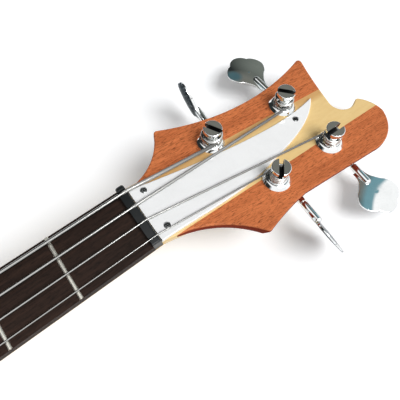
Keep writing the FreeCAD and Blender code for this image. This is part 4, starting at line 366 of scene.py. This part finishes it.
def wrap_group():
    """Bands of a wound wire along its own length."""
    group, start, end = new_group("Wire wrap", [
        ("Run", "NodeSocketFloat", 0.0),
        ("Pitch", "NodeSocketFloat", 0.0005),
    ], [("Groove", "NodeSocketFloat"), ("Height", "NodeSocketFloat")])
    count = worked(group, "DIVIDE", start.outputs["Run"], start.outputs["Pitch"])
    wave = worked(group, "ABSOLUTE", worked(group, "SINE", worked(group, "MULTIPLY", count, math.pi)))
    group.links.new(wave, end.inputs["Height"])
    group.links.new(ranged(group, wave, 0.1, 0.55, 1.0, 0.0), end.inputs["Groove"])
    return group


def brushed_group():
    """Fine lines left by turning or brushing, across X."""
    group, start, end = new_group("Brushed lines", [
        ("Vector", "NodeSocketVector", None),
        ("Least", "NodeSocketFloat", 0.15),
        ("Most", "NodeSocketFloat", 0.3),
    ], [("Height", "NodeSocketFloat"), ("Roughness", "NodeSocketFloat")])
    lines = noise(group, scaled(group, start.outputs["Vector"], (5200.0, 260.0, 260.0)), 1.0, 3.0, 0.6)
    group.links.new(lines, end.inputs["Height"])
    rough = ranged(group, lines, 0.0, 1.0, start.outputs["Least"], start.outputs["Most"])
    group.links.new(rough, end.inputs["Roughness"])
    return group


def painted_reflection_group():
    """Painted dark reflection, speckled with painted glints, laid over a plated tint."""
    group, start, end = new_group("Cast metal", [
        ("Vector", "NodeSocketVector", None),
        ("Mask", "NodeSocketFloat", 0.0),
        ("Tint", "NodeSocketColor", None),
        ("Roughness", "NodeSocketFloat", 0.1),
    ], [("Color", "NodeSocketColor"), ("Roughness", "NodeSocketFloat")])
    specks = noise(group, scaled(group, start.outputs["Vector"], (620.0, 620.0, 620.0)), 1.0, 3.0, 0.6)
    # The dark tone is painted reflection and the bright specks are painted glints.
    painted_dark_reflection, painted_glint = (0.035, 0.046, 0.052, 1.0), (0.55, 0.58, 0.60, 1.0)
    rough = mixed(group, ranged(group, specks, 0.52, 0.64), painted_dark_reflection, painted_glint)
    group.links.new(mixed(group, start.outputs["Mask"], start.outputs["Tint"], rough), end.inputs["Color"])
    dull = worked(group, "MULTIPLY", start.outputs["Mask"], 0.2)
    group.links.new(worked(group, "ADD", start.outputs["Roughness"], dull), end.inputs["Roughness"])
    return group


GROUP_MAKERS = {"Wood grain": grain_group, "Handling marks": smudge_group, "Wire wrap": wrap_group,
                "Brushed lines": brushed_group, "Cast metal": painted_reflection_group}


def use_group(tree, name, **values):
    """A node group, built once, placed in a material with its own values."""
    group = bpy.data.node_groups.get(name) or GROUP_MAKERS[name]()
    made = tree.nodes.new("ShaderNodeGroup")
    made.node_tree = group
    for label, value in values.items():
        feed(tree, made.inputs[label], value)
    return made


def opaque(rgb, share=1.0):
    """A colour with full cover, darkened to a share of itself."""
    return (rgb[0] * share, rgb[1] * share, rgb[2] * share, 1.0)


def opened(finish):
    """The node tree of a material and its shader."""
    return finish.node_tree, finish.node_tree.nodes["Principled BSDF"]


def new_material(name):
    """A material with its shader, ready for nodes."""
    finish = bpy.data.materials.new(name)
    finish.use_nodes = True
    return finish, *opened(finish)


def source(shader, label):
    """The socket that feeds an input of a shader."""
    return shader.inputs[label].links[0].from_socket


def coloured(tree, shader, tint, rough):
    """Feed the colour and the roughness of a shader."""
    tree.links.new(tint, shader.inputs["Base Color"])
    tree.links.new(rough, shader.inputs["Roughness"])


def object_place(tree):
    return add_node(tree, "ShaderNodeTexCoord").outputs["Object"]


def local_normal(tree):
    """The direction that a surface faces, in the frame of its own piece."""
    turned = add_node(tree, "ShaderNodeVectorTransform", vector_type="NORMAL",
                      convert_from="WORLD", convert_to="OBJECT")
    tree.links.new(add_node(tree, "ShaderNodeNewGeometry").outputs["Normal"], turned.inputs[0])
    return turned.outputs[0]


def turned_place(tree, angle, shift=(0.0, 0.0, 0.0)):
    """Object coordinates turned about the Y axis, so that a grain follows a tilted piece."""
    mapping = add_node(tree, "ShaderNodeMapping", vector_type="POINT")
    tree.links.new(object_place(tree), mapping.inputs["Vector"])
    mapping.inputs["Rotation"].default_value = (0.0, -angle, 0.0)
    mapping.inputs["Location"].default_value = shift
    return mapping.outputs["Vector"]


def bumped(tree, shader, height, strength, distance):
    bump = add_node(tree, "ShaderNodeBump")
    bump.inputs["Strength"].default_value = strength
    bump.inputs["Distance"].default_value = distance
    tree.links.new(height, bump.inputs["Height"])
    tree.links.new(bump.outputs["Normal"], shader.inputs["Normal"])


def below_face(tree, angle, level):
    """What lies below the front edge of a tilted piece, as a mask."""
    split = add_node(tree, "ShaderNodeSeparateXYZ")
    tree.links.new(turned_place(tree, angle), split.inputs[0])
    return ranged(tree, split.outputs["Z"], level - EDGE_END, level - EDGE_START, 1.0, 0.0)


def wood(name, pale, deep, pore, streak, pores, fineness, base_rough, coat, angle=0.0, shift=(0.0, 0.0, 0.0),
         edge=None, shine=0.25):
    """A lacquered or oiled wood whose grain runs along the neck."""
    finish, tree, shader = new_material(name)
    grain = use_group(tree, "Wood grain", Vector=turned_place(tree, angle, shift), Pale=opaque(pale),
                      Deep=opaque(deep), Pore=opaque(pore), Streak=streak, Pores=pores, Fineness=fineness)
    tint = grain.outputs["Color"]
    rough = worked(tree, "ADD", grain.outputs["Roughness"], base_rough)
    shader.inputs["Coat Weight"].default_value = coat
    # Painted shade darkens the side below the headstock face, which also loses its coat and gets rougher.
    if edge:
        level, tone = edge
        share = below_face(tree, angle, level)
        tint = mixed(tree, share, tint, opaque(tone), "MULTIPLY")
        rough = worked(tree, "ADD", rough, worked(tree, "MULTIPLY", share, 0.5))
        tree.links.new(ranged(tree, share, 0.0, 1.0, coat, 0.0), shader.inputs["Coat Weight"])
    coloured(tree, shader, tint, rough)
    shader.inputs["Specular IOR Level"].default_value = shine
    shader.inputs["Coat Roughness"].default_value = 0.12
    bumped(tree, shader, grain.outputs["Height"], 0.25, 0.0001)
    return finish


def warmed(finish, along, across, tone):
    """Deepen the tone of a wood beyond a place along the neck, towards the bass side."""
    tree, shader = opened(finish)
    place = object_place(tree)
    share = worked(tree, "MULTIPLY", towards(tree, place, ALONG, along, along + STRIP_FADE_ALONG),
                   towards(tree, place, ACROSS, across, across + STRIP_FADE_ACROSS))
    tint = mixed(tree, share, source(shader, "Base Color"), opaque(tone), "MULTIPLY")
    tree.links.new(tint, shader.inputs["Base Color"])
    return finish


def plated(name, base, least, most):
    """Bright plated metal with faint handling marks."""
    finish, tree, shader = new_material(name)
    marks = use_group(tree, "Handling marks", Vector=object_place(tree), Least=least, Most=most)
    shader.inputs["Metallic"].default_value = 1.0
    tint = mixed(tree, marks.outputs["Mask"], opaque(base), opaque(base, 0.93))
    coloured(tree, shader, tint, marks.outputs["Roughness"])
    return finish


def slot_shade(tree, letter):
    """Where the slot of a post lies, as a mask in the frame of the post for painted shade."""
    tuners = bpy.context.scene.bass_tuners
    frame_in = (post_frame(letter) @ Matrix.Rotation(getattr(tuners, "slot_" + letter), 4, "Z")).inverted()
    mapping = add_node(tree, "ShaderNodeMapping", vector_type="POINT")
    tree.links.new(object_place(tree), mapping.inputs["Vector"])
    mapping.inputs["Rotation"].default_value = frame_in.to_euler("XYZ")
    mapping.inputs["Location"].default_value = frame_in.translation
    split = add_node(tree, "ShaderNodeSeparateXYZ")
    tree.links.new(mapping.outputs["Vector"], split.inputs[0])
    half = tuners.slot_width / 2
    off = worked(tree, "ABSOLUTE", split.outputs["Y"])
    inside = ranged(tree, off, half * 1.01, half * 1.06, 1.0, 0.0)
    above = ranged(tree, split.outputs["Z"], tuners.slot_floor - half * 0.1, tuners.slot_floor - half * 0.02)
    below = ranged(tree, split.outputs["Z"], tuners.post_top - half * 0.4, tuners.post_top - half * 0.1,
                   1.0, 0.0)
    return worked(tree, "MULTIPLY", inside, worked(tree, "MULTIPLY", above, below))


def leaf_back(tree, letter):
    """Where the back of the leaf of a key lies, as a mask for its painted dark reflection."""
    tuners = bpy.context.scene.bass_tuners
    frame_out = post_frame(letter) @ Matrix.Rotation(getattr(tuners, "turn_" + letter), 4, "Z")
    side = frame_out.to_3x3() @ Vector((0.0, winding_start(letter)[2], 0.0))
    lean = getattr(tuners, "leaf_" + letter)
    back = frame_out.to_3x3() @ Vector((-math.sin(lean), 0.0, -math.cos(lean)))
    start = frame_out.translation.dot(side) + tuners.leaf_start
    outer = towards(tree, object_place(tree), side, start, start + tuners.leaf_start * 0.1)
    return worked(tree, "MULTIPLY", outer, towards(tree, local_normal(tree), back, 0.0, 0.5))


def keyed(name, base, least, most, letter):
    """Plated metal of a key, with a painted dark reflection and painted glints on the back of its leaf."""
    finish = plated(name, base, least, most)
    tree, shader = opened(finish)
    painted_reflection = use_group(tree, "Cast metal", Vector=object_place(tree), Mask=leaf_back(tree, letter),
                     Tint=source(shader, "Base Color"), Roughness=source(shader, "Roughness"))
    coloured(tree, shader, painted_reflection.outputs["Color"], painted_reflection.outputs["Roughness"])
    shader.inputs["Specular Tint"].default_value = (0.25, 0.27, 0.28, 1.0)
    return finish


def slotted(name, base, least, most, letter):
    """Plated metal of a post, with painted shade making its slot dark, and duller there."""
    finish = plated(name, base, least, most)
    tree, shader = opened(finish)
    shade = slot_shade(tree, letter)
    # Painted shade: the inside of the slot is painted nearly black.
    tint = mixed(tree, shade, source(shader, "Base Color"), opaque(base, 0.06))
    dull = worked(tree, "MULTIPLY", shade, 0.4)
    coloured(tree, shader, tint, worked(tree, "ADD", source(shader, "Roughness"), dull))
    return finish


def brushed(name, base, least, most, depth):
    """Turned or drawn metal with fine lines."""
    finish, tree, shader = new_material(name)
    lines = use_group(tree, "Brushed lines", Vector=object_place(tree), Least=least, Most=most)
    shader.inputs["Metallic"].default_value = 1.0
    tint = mixed(tree, lines.outputs["Height"], opaque(base, 0.86), opaque(base))
    coloured(tree, shader, tint, lines.outputs["Roughness"])
    bumped(tree, shader, lines.outputs["Height"], 0.3, depth)
    return finish


def moulded(name, base, least, most, coat):
    """Plastic sheet or moulding with a faint skin texture."""
    finish, tree, shader = new_material(name)
    place = object_place(tree)
    marks = use_group(tree, "Handling marks", Vector=place, Least=least, Most=most)
    tint = mixed(tree, marks.outputs["Mask"], opaque(base), opaque(base, 0.96))
    coloured(tree, shader, tint, marks.outputs["Roughness"])
    shader.inputs["Coat Weight"].default_value = coat
    shader.inputs["Coat Roughness"].default_value = 0.06
    skin = noise(tree, scaled(tree, place, (700.0, 700.0, 700.0)), 1.0, 2.0)
    bumped(tree, shader, skin, 0.1, 0.00004)
    return finish


def pearly(name, base):
    """Shell dots with soft clouds."""
    finish, tree, shader = new_material(name)
    cloud = noise(tree, scaled(tree, object_place(tree), (420.0, 420.0, 420.0)), 1.0, 3.0, 0.5, 1.6)
    tint = mixed(tree, ranged(tree, cloud, 0.35, 0.65), opaque(base), opaque(base, 0.8))
    coloured(tree, shader, tint, ranged(tree, cloud, 0.3, 0.7, 0.18, 0.32))
    shader.inputs["Coat Weight"].default_value = 0.4
    return finish


def wound_wire(name, base, pitch):
    """Round wrap wire, its bands following the run of the string."""
    finish, tree, shader = new_material(name)
    run = add_node(tree, "ShaderNodeAttribute", attribute_name="run")
    wrap = use_group(tree, "Wire wrap", Run=run.outputs["Fac"], Pitch=pitch)
    shader.inputs["Metallic"].default_value = 1.0
    groove = wrap.outputs["Groove"]
    # Painted shade darkens the grooves between the wraps.
    tint = mixed(tree, groove, opaque(base), opaque(base, 0.6))
    coloured(tree, shader, tint, ranged(tree, groove, 0.0, 1.0, 0.14, 0.26))
    bumped(tree, shader, wrap.outputs["Height"], 0.2, pitch * 0.12)
    return finish


def wire_with_painted_shade(name, base, pitch):
    """Wrap wire whose sides are painted dark as shade up to the nut, so that its top looks bright; beyond the
    nut it is grey and less metallic, with its lit side painted lighter.
    """
    finish = wound_wire(name, base, pitch)
    tree, shader = opened(finish)
    nut = bpy.context.scene.bass_tuners.head_along
    beyond = towards(tree, object_place(tree), ALONG, nut + NUT_FADE[0], nut + NUT_FADE[1])
    # Painted shade on the sides of the string, up to the nut.
    top = towards(tree, local_normal(tree), UP, 0.55, 0.9)
    tint = mixed(tree, top, opaque(base, 0.22), source(shader, "Base Color"))
    # Painted light beyond the nut: the side towards STRING_FACE is painted lighter than the rest.
    face = towards(tree, local_normal(tree), STRING_FACE, 0.45, 0.8)
    grey = mixed(tree, face, opaque(base, 0.35), opaque(base, 0.7))
    tree.links.new(mixed(tree, beyond, tint, grey), shader.inputs["Base Color"])
    tree.links.new(ranged(tree, beyond, 0.0, 1.0, 1.0, 0.2), shader.inputs["Metallic"])
    return finish


def dress(finish, *names):
    """Give CAD pieces their finish."""
    for name in names:
        slots = NODES[name].data.materials
        slots.clear()
        slots.append(finish)


# Mesh building


def finished_piece(name, bm, finish, body, nodes=()):
    """Turn a finished bmesh into a piece that rides on a body."""
    bmesh.ops.recalc_face_normals(bm, faces=bm.faces)
    mesh = bpy.data.meshes.new(name)
    bm.to_mesh(mesh)
    bm.free()
    mesh.materials.append(finish)
    mesh.shade_smooth()
    piece = bpy.data.objects.new(name, mesh)
    bpy.context.scene.collection.objects.link(piece)
    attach(piece, body)
    if nodes:
        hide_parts(*nodes)
    return piece


def facing(place, way):
    """A matrix that puts a ring at a place, square to a direction."""
    return Matrix.Translation(place) @ way.to_track_quat("Z", "Y").to_matrix().to_4x4()


def open_edges(bm):
    return [edge for edge in bm.edges if edge.is_boundary]


class Wire:
    """A round wire drawn along straight runs and arcs, which keeps its run in an attribute."""

    def __init__(self, place, way, radius, sides):
        self.bm = bmesh.new()
        self.run = self.bm.verts.layers.float.new("run")
        self.length = 0.0
        self.radius = radius
        ring = bmesh.ops.create_circle(self.bm, segments=sides, radius=radius, matrix=facing(place, way))
        self.tip = ring["verts"]

    def tip_geometry(self):
        held = set(self.tip)
        return self.tip + [edge for edge in self.bm.edges if edge.verts[0] in held and edge.verts[1] in held]

    def mark(self, verts):
        for vert in verts:
            vert[self.run] = self.length
        self.tip = verts

    def straight(self, shift):
        edges = [item for item in self.tip_geometry() if isinstance(item, bmesh.types.BMEdge)]
        grown = bmesh.ops.extrude_edge_only(self.bm, edges=edges)["geom"]
        verts = [item for item in grown if isinstance(item, bmesh.types.BMVert)]
        bmesh.ops.translate(self.bm, verts=verts, vec=shift)
        self.length += shift.length
        self.mark(verts)

    def arc(self, centre, axis, angle, steps, bend_radius, rise=Vector()):
        for unused in range(steps):
            grown = bmesh.ops.spin(self.bm, geom=self.tip_geometry(), cent=centre, axis=axis, dvec=rise,
                                   angle=angle / steps, steps=1, use_merge=False, use_duplicate=False)
            verts = [item for item in grown["geom_last"] if isinstance(item, bmesh.types.BMVert)]
            self.length += math.hypot(bend_radius * angle / steps, rise.length)
            self.mark(verts)

    def closed(self):
        bmesh.ops.holes_fill(self.bm, edges=open_edges(self.bm), sides=0)
        return self.bm


def drawn_wire(points, radius, bend_radius, sides):
    """A wire through points, its corners turned on arcs."""
    ways = [(after - before).normalized() for before, after in zip(points, points[1:])]
    wire = Wire(points[0], ways[0], radius, sides)
    here = points[0]
    for corner, before, after in zip(points[1:], ways, ways[1:]):
        angle = before.angle(after)
        trim = bend_radius * math.tan(angle / 2)
        wire.straight(corner - before * trim - here)
        axis = before.cross(after).normalized()
        centre = corner - before * trim + axis.cross(before) * bend_radius
        wire.arc(centre, axis, angle, max(2, round(math.degrees(angle) / 4)), bend_radius)
        here = corner + after * trim
    wire.straight(points[-1] - here)
    return wire.closed()


def board_drop(y):
    """How far the round of the board falls away beside its middle."""
    radius = bpy.context.scene.bass_strings.board_radius
    return radius - math.sqrt(radius * radius - y * y)


def head_frame():
    """The frame of the headstock face, at the nut."""
    tuners = bpy.context.scene.bass_tuners
    return (Matrix.Translation((tuners.head_along, 0.0, tuners.head_level))
            @ Matrix.Rotation(tuners.head_angle, 4, "Y"))


def post_frame(letter):
    """The frame of a tuner post, where it leaves the headstock face."""
    along, across = getattr(bpy.context.scene.bass_tuners, "post_" + letter)
    return head_frame() @ Matrix.Translation((along, across, 0.0))


def winding_start(letter):
    """Radius of a winding on its post, its first level and its side."""
    tuners = bpy.context.scene.bass_tuners
    radius = getattr(bpy.context.scene.bass_strings, "gauge_" + letter) / 2
    side = 1.0 if getattr(tuners, "post_" + letter)[1] > 0 else -1.0
    return tuners.waist_radius + radius + tuners.seat_gap, tuners.waist_level + radius + tuners.seat_gap, side


def string_points(letter):
    """The route of a string from its ball to the side of its post."""
    sizes = bpy.context.scene.bass_strings
    radius = getattr(sizes, "gauge_" + letter) / 2
    share = 0.5 - STRINGS.index(letter) / (len(STRINGS) - 1)
    nut_y = sizes.nut_spread * share
    saddle_y = sizes.saddle_spread * share
    nut = Vector((sizes.nut_along, nut_y, sizes.nut_level - board_drop(nut_y) + radius))
    saddle = Vector((0.0, saddle_y, sizes.saddle_level - board_drop(saddle_y) + radius))
    bend = saddle.lerp(nut, -sizes.saddle_bend / sizes.nut_along)
    wall = Vector((-sizes.wall_along, bend.y, sizes.wall_level))
    tail = wall - (bend - wall).normalized() * sizes.ball_length
    ring, level, side = winding_start(letter)
    touch = post_frame(letter) @ Vector((0.0, -side * ring, level))
    return tail, bend, nut, touch


# Stage


def lay_floor(scene, stage):
    """A pale floor that keeps the shadows and is white where it is open."""
    bm = bmesh.new()
    bmesh.ops.create_grid(bm, x_segments=1, y_segments=1, size=stage.floor_side / 2)
    mesh = bpy.data.meshes.new("floor")
    bm.to_mesh(mesh)
    bm.free()
    floor = bpy.data.objects.new("floor", mesh)
    scene.collection.objects.link(floor)
    finish, tree, shader = new_material("Pale floor")
    tree.nodes.remove(shader)
    plain = add_node(tree, "ShaderNodeBsdfDiffuse")
    plain.inputs["Color"].default_value = opaque(stage.floor)
    glow = add_node(tree, "ShaderNodeEmission")
    tree.links.new(worked(tree, "MULTIPLY", open_rays(tree), stage.floor_glow), glow.inputs["Strength"])
    both = add_node(tree, "ShaderNodeAddShader")
    tree.links.new(plain.outputs[0], both.inputs[0])
    tree.links.new(glow.outputs[0], both.inputs[1])
    tree.links.new(both.outputs[0], tree.nodes["Material Output"].inputs["Surface"])
    mesh.materials.append(finish)


def hang_lamp(scene, stage):
    """One broad lamp over the headstock."""
    lamp = bpy.data.lights.new("main lamp", "SUN")
    lamp.energy = stage.lamp_power
    lamp.angle = stage.lamp_spread
    lamp_object = bpy.data.objects.new("main lamp", lamp)
    way = Vector(stage.lamp_way).normalized()
    lamp_object.matrix_world = facing(way, way)
    scene.collection.objects.link(lamp_object)


def room_panels(stage):
    """What the room is hung with, each piece over the last: direction, cosines of its rim, tone."""
    white, teal = opaque(stage.white_room), opaque(stage.teal_panel)
    return ((stage.grey_way, stage.grey_rim, opaque(stage.grey_panel)),
            (stage.green_way, stage.green_rim, opaque(stage.green_panel)),
            (stage.teal_way, stage.teal_rim, opaque(stage.teal_panel, 0.4)),
            (stage.window_way, stage.frame_rim, teal),
            (stage.window_way, stage.window_rim, white),
            (stage.bright_way, stage.bright_rim, white),
            (stage.shade_way, stage.shade_rim, opaque(stage.dark_room)))


def paint_room(scene, stage):
    """Plain white light from all round, and a room of panels that the metal shows."""
    world = bpy.data.worlds.new("Studio")
    world.use_nodes = True
    scene.world = world
    tree = world.node_tree
    back = tree.nodes["Background"]
    around = add_node(tree, "ShaderNodeTexCoord").outputs["Generated"]
    room = opaque(stage.dark_room)
    for way, (low, high), tone in room_panels(stage):
        room = mixed(tree, towards(tree, around, way, low, high), room, tone)
    glossy = add_node(tree, "ShaderNodeLightPath").outputs["Is Glossy Ray"]
    tree.links.new(mixed(tree, glossy, (1.0, 1.0, 1.0, 1.0), room), back.inputs["Color"])
    tree.links.new(ranged(tree, open_rays(tree), 0.0, 1.0, stage.surround, 1.0), back.inputs["Strength"])


def set_camera(scene, stage):
    """The camera that sees the headstock and the first frets."""
    camera = bpy.data.cameras.new("camera")
    camera.lens = stage.lens
    camera.sensor_width = 36.0
    camera.clip_start = 0.01
    right = Vector(stage.camera_right).normalized()
    up = Vector(stage.camera_up)
    up = (up - right * up.dot(right)).normalized()
    turn = Matrix((right, up, right.cross(up))).transposed().to_4x4()
    camera_object = bpy.data.objects.new("camera", camera)
    camera_object.matrix_world = Matrix.Translation(stage.camera_place) @ turn
    scene.collection.objects.link(camera_object)
    scene.camera = camera_object


# Operators


class BASS_OT_woods(bpy.types.Operator):
    """Finish the body, the neck, the headstock and the fingerboard"""
    bl_idname = "bass.woods"
    bl_label = "Woods"

    def execute(self, context):
        tones = context.scene.bass_colours
        tuners = context.scene.bass_tuners
        tilt = tuners.head_angle
        red = (tones.red_pale, tones.red_deep, tones.red_pore)
        maple = (tones.maple_pale, tones.maple_deep, tones.maple_pore)
        dark = (tones.dark_pale, tones.dark_deep, tones.dark_pore)
        face = tuners.head_along * math.sin(tilt) + tuners.head_level * math.cos(tilt)
        # The side below the headstock face takes painted shade.
        head = {"base_rough": 0.38, "coat": 0.04, "shine": 0.12, "angle": tilt,
                "edge": (face, tones.red_edge_shade)}
        # The treble wing gets less deep streak than the bass wing, so it is painted lighter, as if more lit.
        dress(wood("Red wood, bass side of headstock", *red, streak=0.95, pores=0.85, fineness=1.0, **head),
              "headstock_wing_bass")
        dress(wood("Red wood, treble side of headstock", *red, streak=0.85, pores=0.85, fineness=1.05,
                   shift=(0.31, 0.17, 0.05), **head), "headstock_wing_treble")
        body = {"streak": 0.9, "pores": 0.55, "fineness": 0.9, "base_rough": 0.30, "coat": 0.45}
        dress(wood("Red wood, bass side of body", *red, **body), "body_wing_bass")
        dress(wood("Red wood, treble side of body", *red, shift=(0.7, 0.4, 0.1), **body), "body_wing_treble")
        core = wood("Maple", *maple, streak=0.55, pores=0.12, fineness=0.55, base_rough=0.32, coat=0.1)
        dress(warmed(core, tuners.head_along, tuners.maple_strip, tones.maple_warm), "neck_core")
        board = wood("Dark wood", *dark, streak=0.9, pores=0.6, fineness=0.8, base_rough=0.46, coat=0.0,
                     shine=0.1)
        dress(board, "fretboard")
        return {"FINISHED"}


class BASS_OT_frets(bpy.types.Operator):
    """Finish the frets and the dots of the fingerboard"""
    bl_idname = "bass.frets"
    bl_label = "Frets and dots"

    def execute(self, context):
        tones = context.scene.bass_colours
        dress(plated("Fret wire", tones.fret, 0.40, 0.50), "frets")
        dress(pearly("Pearl", tones.pearl), "position_dots")
        return {"FINISHED"}


class BASS_OT_nut_and_cover(bpy.types.Operator):
    """Finish the nut, the truss rod and the rod cover with its screws"""
    bl_idname = "bass.nut_and_cover"
    bl_label = "Nut and rod cover"

    def execute(self, context):
        tones = context.scene.bass_colours
        dress(moulded("Black nut", tones.black, 0.3, 0.45, 0.1), "nut")
        dress(moulded("White cover", tones.white, 0.16, 0.26, 0.5), "truss_rod_cover")
        # The cover screws are painted dark as the shade in their recesses.
        dress(plated("Cover screws", tones.recess_shade_steel, 0.18, 0.3), "cover_screws")
        dress(brushed("Rod steel", tones.steel, 0.3, 0.45, 0.00002), "truss_rod", "truss_rod_nut")
        return {"FINISHED"}


class BASS_OT_tuners(bpy.types.Operator):
    """Finish the tuners"""
    bl_idname = "bass.tuners"
    bl_label = "Tuners"

    def execute(self, context):
        tones = context.scene.bass_colours
        chrome = plated("Chrome of the tuners", tones.chrome, *CLEAN_CHROME)
        gear = brushed("Gear brass", tones.brass, 0.2, 0.35, FINE_LINES)
        shaft = brushed("Worm steel", tones.steel, 0.18, 0.3, FINE_LINES)
        dress(chrome, "tuner_plates", "tuner_ferrules", "tuner_screws")
        for letter in STRINGS:
            dress(slotted("Chrome of the %s post" % letter, tones.chrome, *CLEAN_CHROME, letter),
                  "post_" + letter)
            dress(keyed("Chrome of the %s key" % letter, tones.chrome, *CLEAN_CHROME, letter),
                  "key_" + letter)
            dress(gear, "wheel_" + letter)
            dress(shaft, "worm_" + letter)
        return {"FINISHED"}


class BASS_OT_strings(bpy.types.Operator):
    """Draw the strings from their balls to the posts"""
    bl_idname = "bass.strings"
    bl_label = "Strings"

    def execute(self, context):
        sizes = context.scene.bass_strings
        tones = context.scene.bass_colours
        brass = brushed("Ball brass", tones.brass, 0.2, 0.35, FINE_LINES)
        for letter in STRINGS:
            gauge = getattr(sizes, "gauge_" + letter)
            finish = wire_with_painted_shade("Played wire, %s string" % letter, tones.wire, gauge * sizes.wrap_share)
            points = string_points(letter)
            bm = drawn_wire(points, gauge / 2, sizes.bend_radius, sizes.sides)
            finished_piece("string_line_" + letter, bm, finish, "instrument",
                           ["string_" + letter])
            depth = sizes.ball_length * BALL_SHARE
            bm = bmesh.new()
            bmesh.ops.create_cone(bm, cap_ends=True, segments=32, radius1=sizes.ball_radius,
                                  radius2=sizes.ball_radius, depth=depth,
                                  matrix=facing(points[0] + ALONG * depth / 2, ALONG))
            rims = [edge for edge in bm.edges if abs(edge.verts[0].co.x - edge.verts[1].co.x) < 1e-6]
            bmesh.ops.bevel(bm, geom=rims, offset=sizes.ball_radius * 0.3, offset_type="OFFSET",
                            affect="EDGES", segments=3, profile=0.5, material=-1)
            finished_piece("string_ball_" + letter, bm, brass, "instrument")
        return {"FINISHED"}


class BASS_OT_windings(bpy.types.Operator):
    """Wind the strings on the posts"""
    bl_idname = "bass.windings"
    bl_label = "String windings"

    def execute(self, context):
        sizes = context.scene.bass_strings
        tones = context.scene.bass_colours
        tuners = context.scene.bass_tuners
        for letter in STRINGS:
            gauge = getattr(sizes, "gauge_" + letter)
            turns = getattr(tuners, "turns_" + letter)
            ring, level, side = winding_start(letter)
            place = post_frame(letter)
            axis = place.to_3x3() @ UP
            lift = gauge + tuners.winding_gap
            way = place.to_3x3() @ Vector((math.tau * ring, 0.0, lift))
            wire = Wire(place @ Vector((0.0, -side * ring, level)), way.normalized(), gauge / 2, sizes.sides)
            steps = round(turns * tuners.steps)
            wire.arc(place.translation, axis, side * math.tau * turns, steps, ring,
                     axis * lift / tuners.steps)
            finish = wound_wire("Wound wire, %s string" % letter, tones.wire, gauge * sizes.wrap_share)
            finished_piece("string_winding_" + letter, wire.closed(), finish, "post_" + letter,
                           ["winding_" + letter])
        return {"FINISHED"}


class BASS_OT_bridge(bpy.types.Operator):
    """Finish the bridge and its saddles"""
    bl_idname = "bass.bridge"
    bl_label = "Bridge"

    def execute(self, context):
        tones = context.scene.bass_colours
        dress(plated("Chrome of the bridge", tones.chrome, *HANDLED_CHROME), "bridge_plate", "bridge_screws")
        saddle = brushed("Saddle steel", tones.steel, 0.16, 0.3, FINE_LINES)
        dress(saddle, "intonation_screws", *["saddle_" + letter for letter in STRINGS])
        return {"FINISHED"}


class BASS_OT_pickups(bpy.types.Operator):
    """Finish the pickups"""
    bl_idname = "bass.pickups"
    bl_label = "Pickups"

    def execute(self, context):
        tones = context.scene.bass_colours
        dress(moulded("Black pickup covers", tones.black, 0.34, 0.5, 0.05), "pickup_covers")
        dress(brushed("Pole steel", tones.steel, 0.2, 0.34, FINE_LINES), "pickup_poles")
        dress(plated("Pickup screws", tones.chrome, 0.1, 0.2), "pickup_screws")
        dress(brushed("Coil wire", tones.coil, 0.3, 0.45, 0.00003), "pickup_coils")
        return {"FINISHED"}


class BASS_OT_controls(bpy.types.Operator):
    """Finish the knobs, the jack and the cover on the back"""
    bl_idname = "bass.controls"
    bl_label = "Controls"

    def execute(self, context):
        tones = context.scene.bass_colours
        chrome = plated("Chrome of the controls", tones.chrome, *HANDLED_CHROME)
        dress(chrome, "volume_knob_neck", "volume_knob_bridge", "tone_knob", "jack_socket", "jack_nut")
        dress(brushed("Potentiometer steel", tones.steel, 0.25, 0.4, 0.00002), "potentiometers")
        dress(moulded("Black back cover", tones.black, 0.38, 0.55, 0.0), "control_cover")
        return {"FINISHED"}


class BASS_OT_strap_buttons(bpy.types.Operator):
    """Finish the strap buttons"""
    bl_idname = "bass.strap_buttons"
    bl_label = "Strap buttons"

    def execute(self, context):
        chrome = context.scene.bass_colours.chrome
        dress(plated("Chrome of the strap buttons", chrome, *HANDLED_CHROME), "strap_buttons")
        return {"FINISHED"}


class BASS_OT_stage(bpy.types.Operator):
    """Set up the floor, the lamps, the room and the camera"""
    bl_idname = "bass.stage"
    bl_label = "Stage"

    def execute(self, context):
        scene = context.scene
        scene.view_settings.view_transform = "Standard"
        lay_floor(scene, scene.bass_stage)
        hang_lamp(scene, scene.bass_stage)
        paint_room(scene, scene.bass_stage)
        set_camera(scene, scene.bass_stage)
        return {"FINISHED"}


class BASS_PT_panel(bpy.types.Panel):
    """Lists the steps that dress the bass"""
    bl_label = "Electric bass"
    bl_idname = "BASS_PT_panel"
    bl_space_type = "VIEW_3D"
    bl_region_type = "UI"
    bl_category = "Bass"

    def draw(self, context):
        for step in STEPS:
            self.layout.operator(step.bl_idname)


SETTINGS = {"bass_strings": BassStringSizes, "bass_tuners": BassTunerSizes,
            "bass_colours": BassColours, "bass_stage": BassStage}
STEPS = (BASS_OT_stage, BASS_OT_woods, BASS_OT_frets, BASS_OT_nut_and_cover, BASS_OT_tuners, BASS_OT_strings,
         BASS_OT_windings, BASS_OT_bridge, BASS_OT_pickups, BASS_OT_controls, BASS_OT_strap_buttons)


def register():
    for kind in tuple(SETTINGS.values()) + STEPS + (BASS_PT_panel,):
        bpy.utils.register_class(kind)
    for name, kind in SETTINGS.items():
        setattr(bpy.types.Scene, name, PointerProperty(type=kind))


def unregister():
    for name in SETTINGS:
        delattr(bpy.types.Scene, name)
    for kind in (BASS_PT_panel,) + STEPS + tuple(SETTINGS.values()):
        bpy.utils.unregister_class(kind)


def main():
    """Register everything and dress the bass."""
    register()
    bpy.ops.bass.stage()
    bpy.ops.bass.woods()
    bpy.ops.bass.frets()
    bpy.ops.bass.nut_and_cover()
    bpy.ops.bass.tuners()
    bpy.ops.bass.strings()
    bpy.ops.bass.windings()
    bpy.ops.bass.bridge()
    bpy.ops.bass.pickups()
    bpy.ops.bass.controls()
    bpy.ops.bass.strap_buttons()


if __name__ == "__main__":
    main()
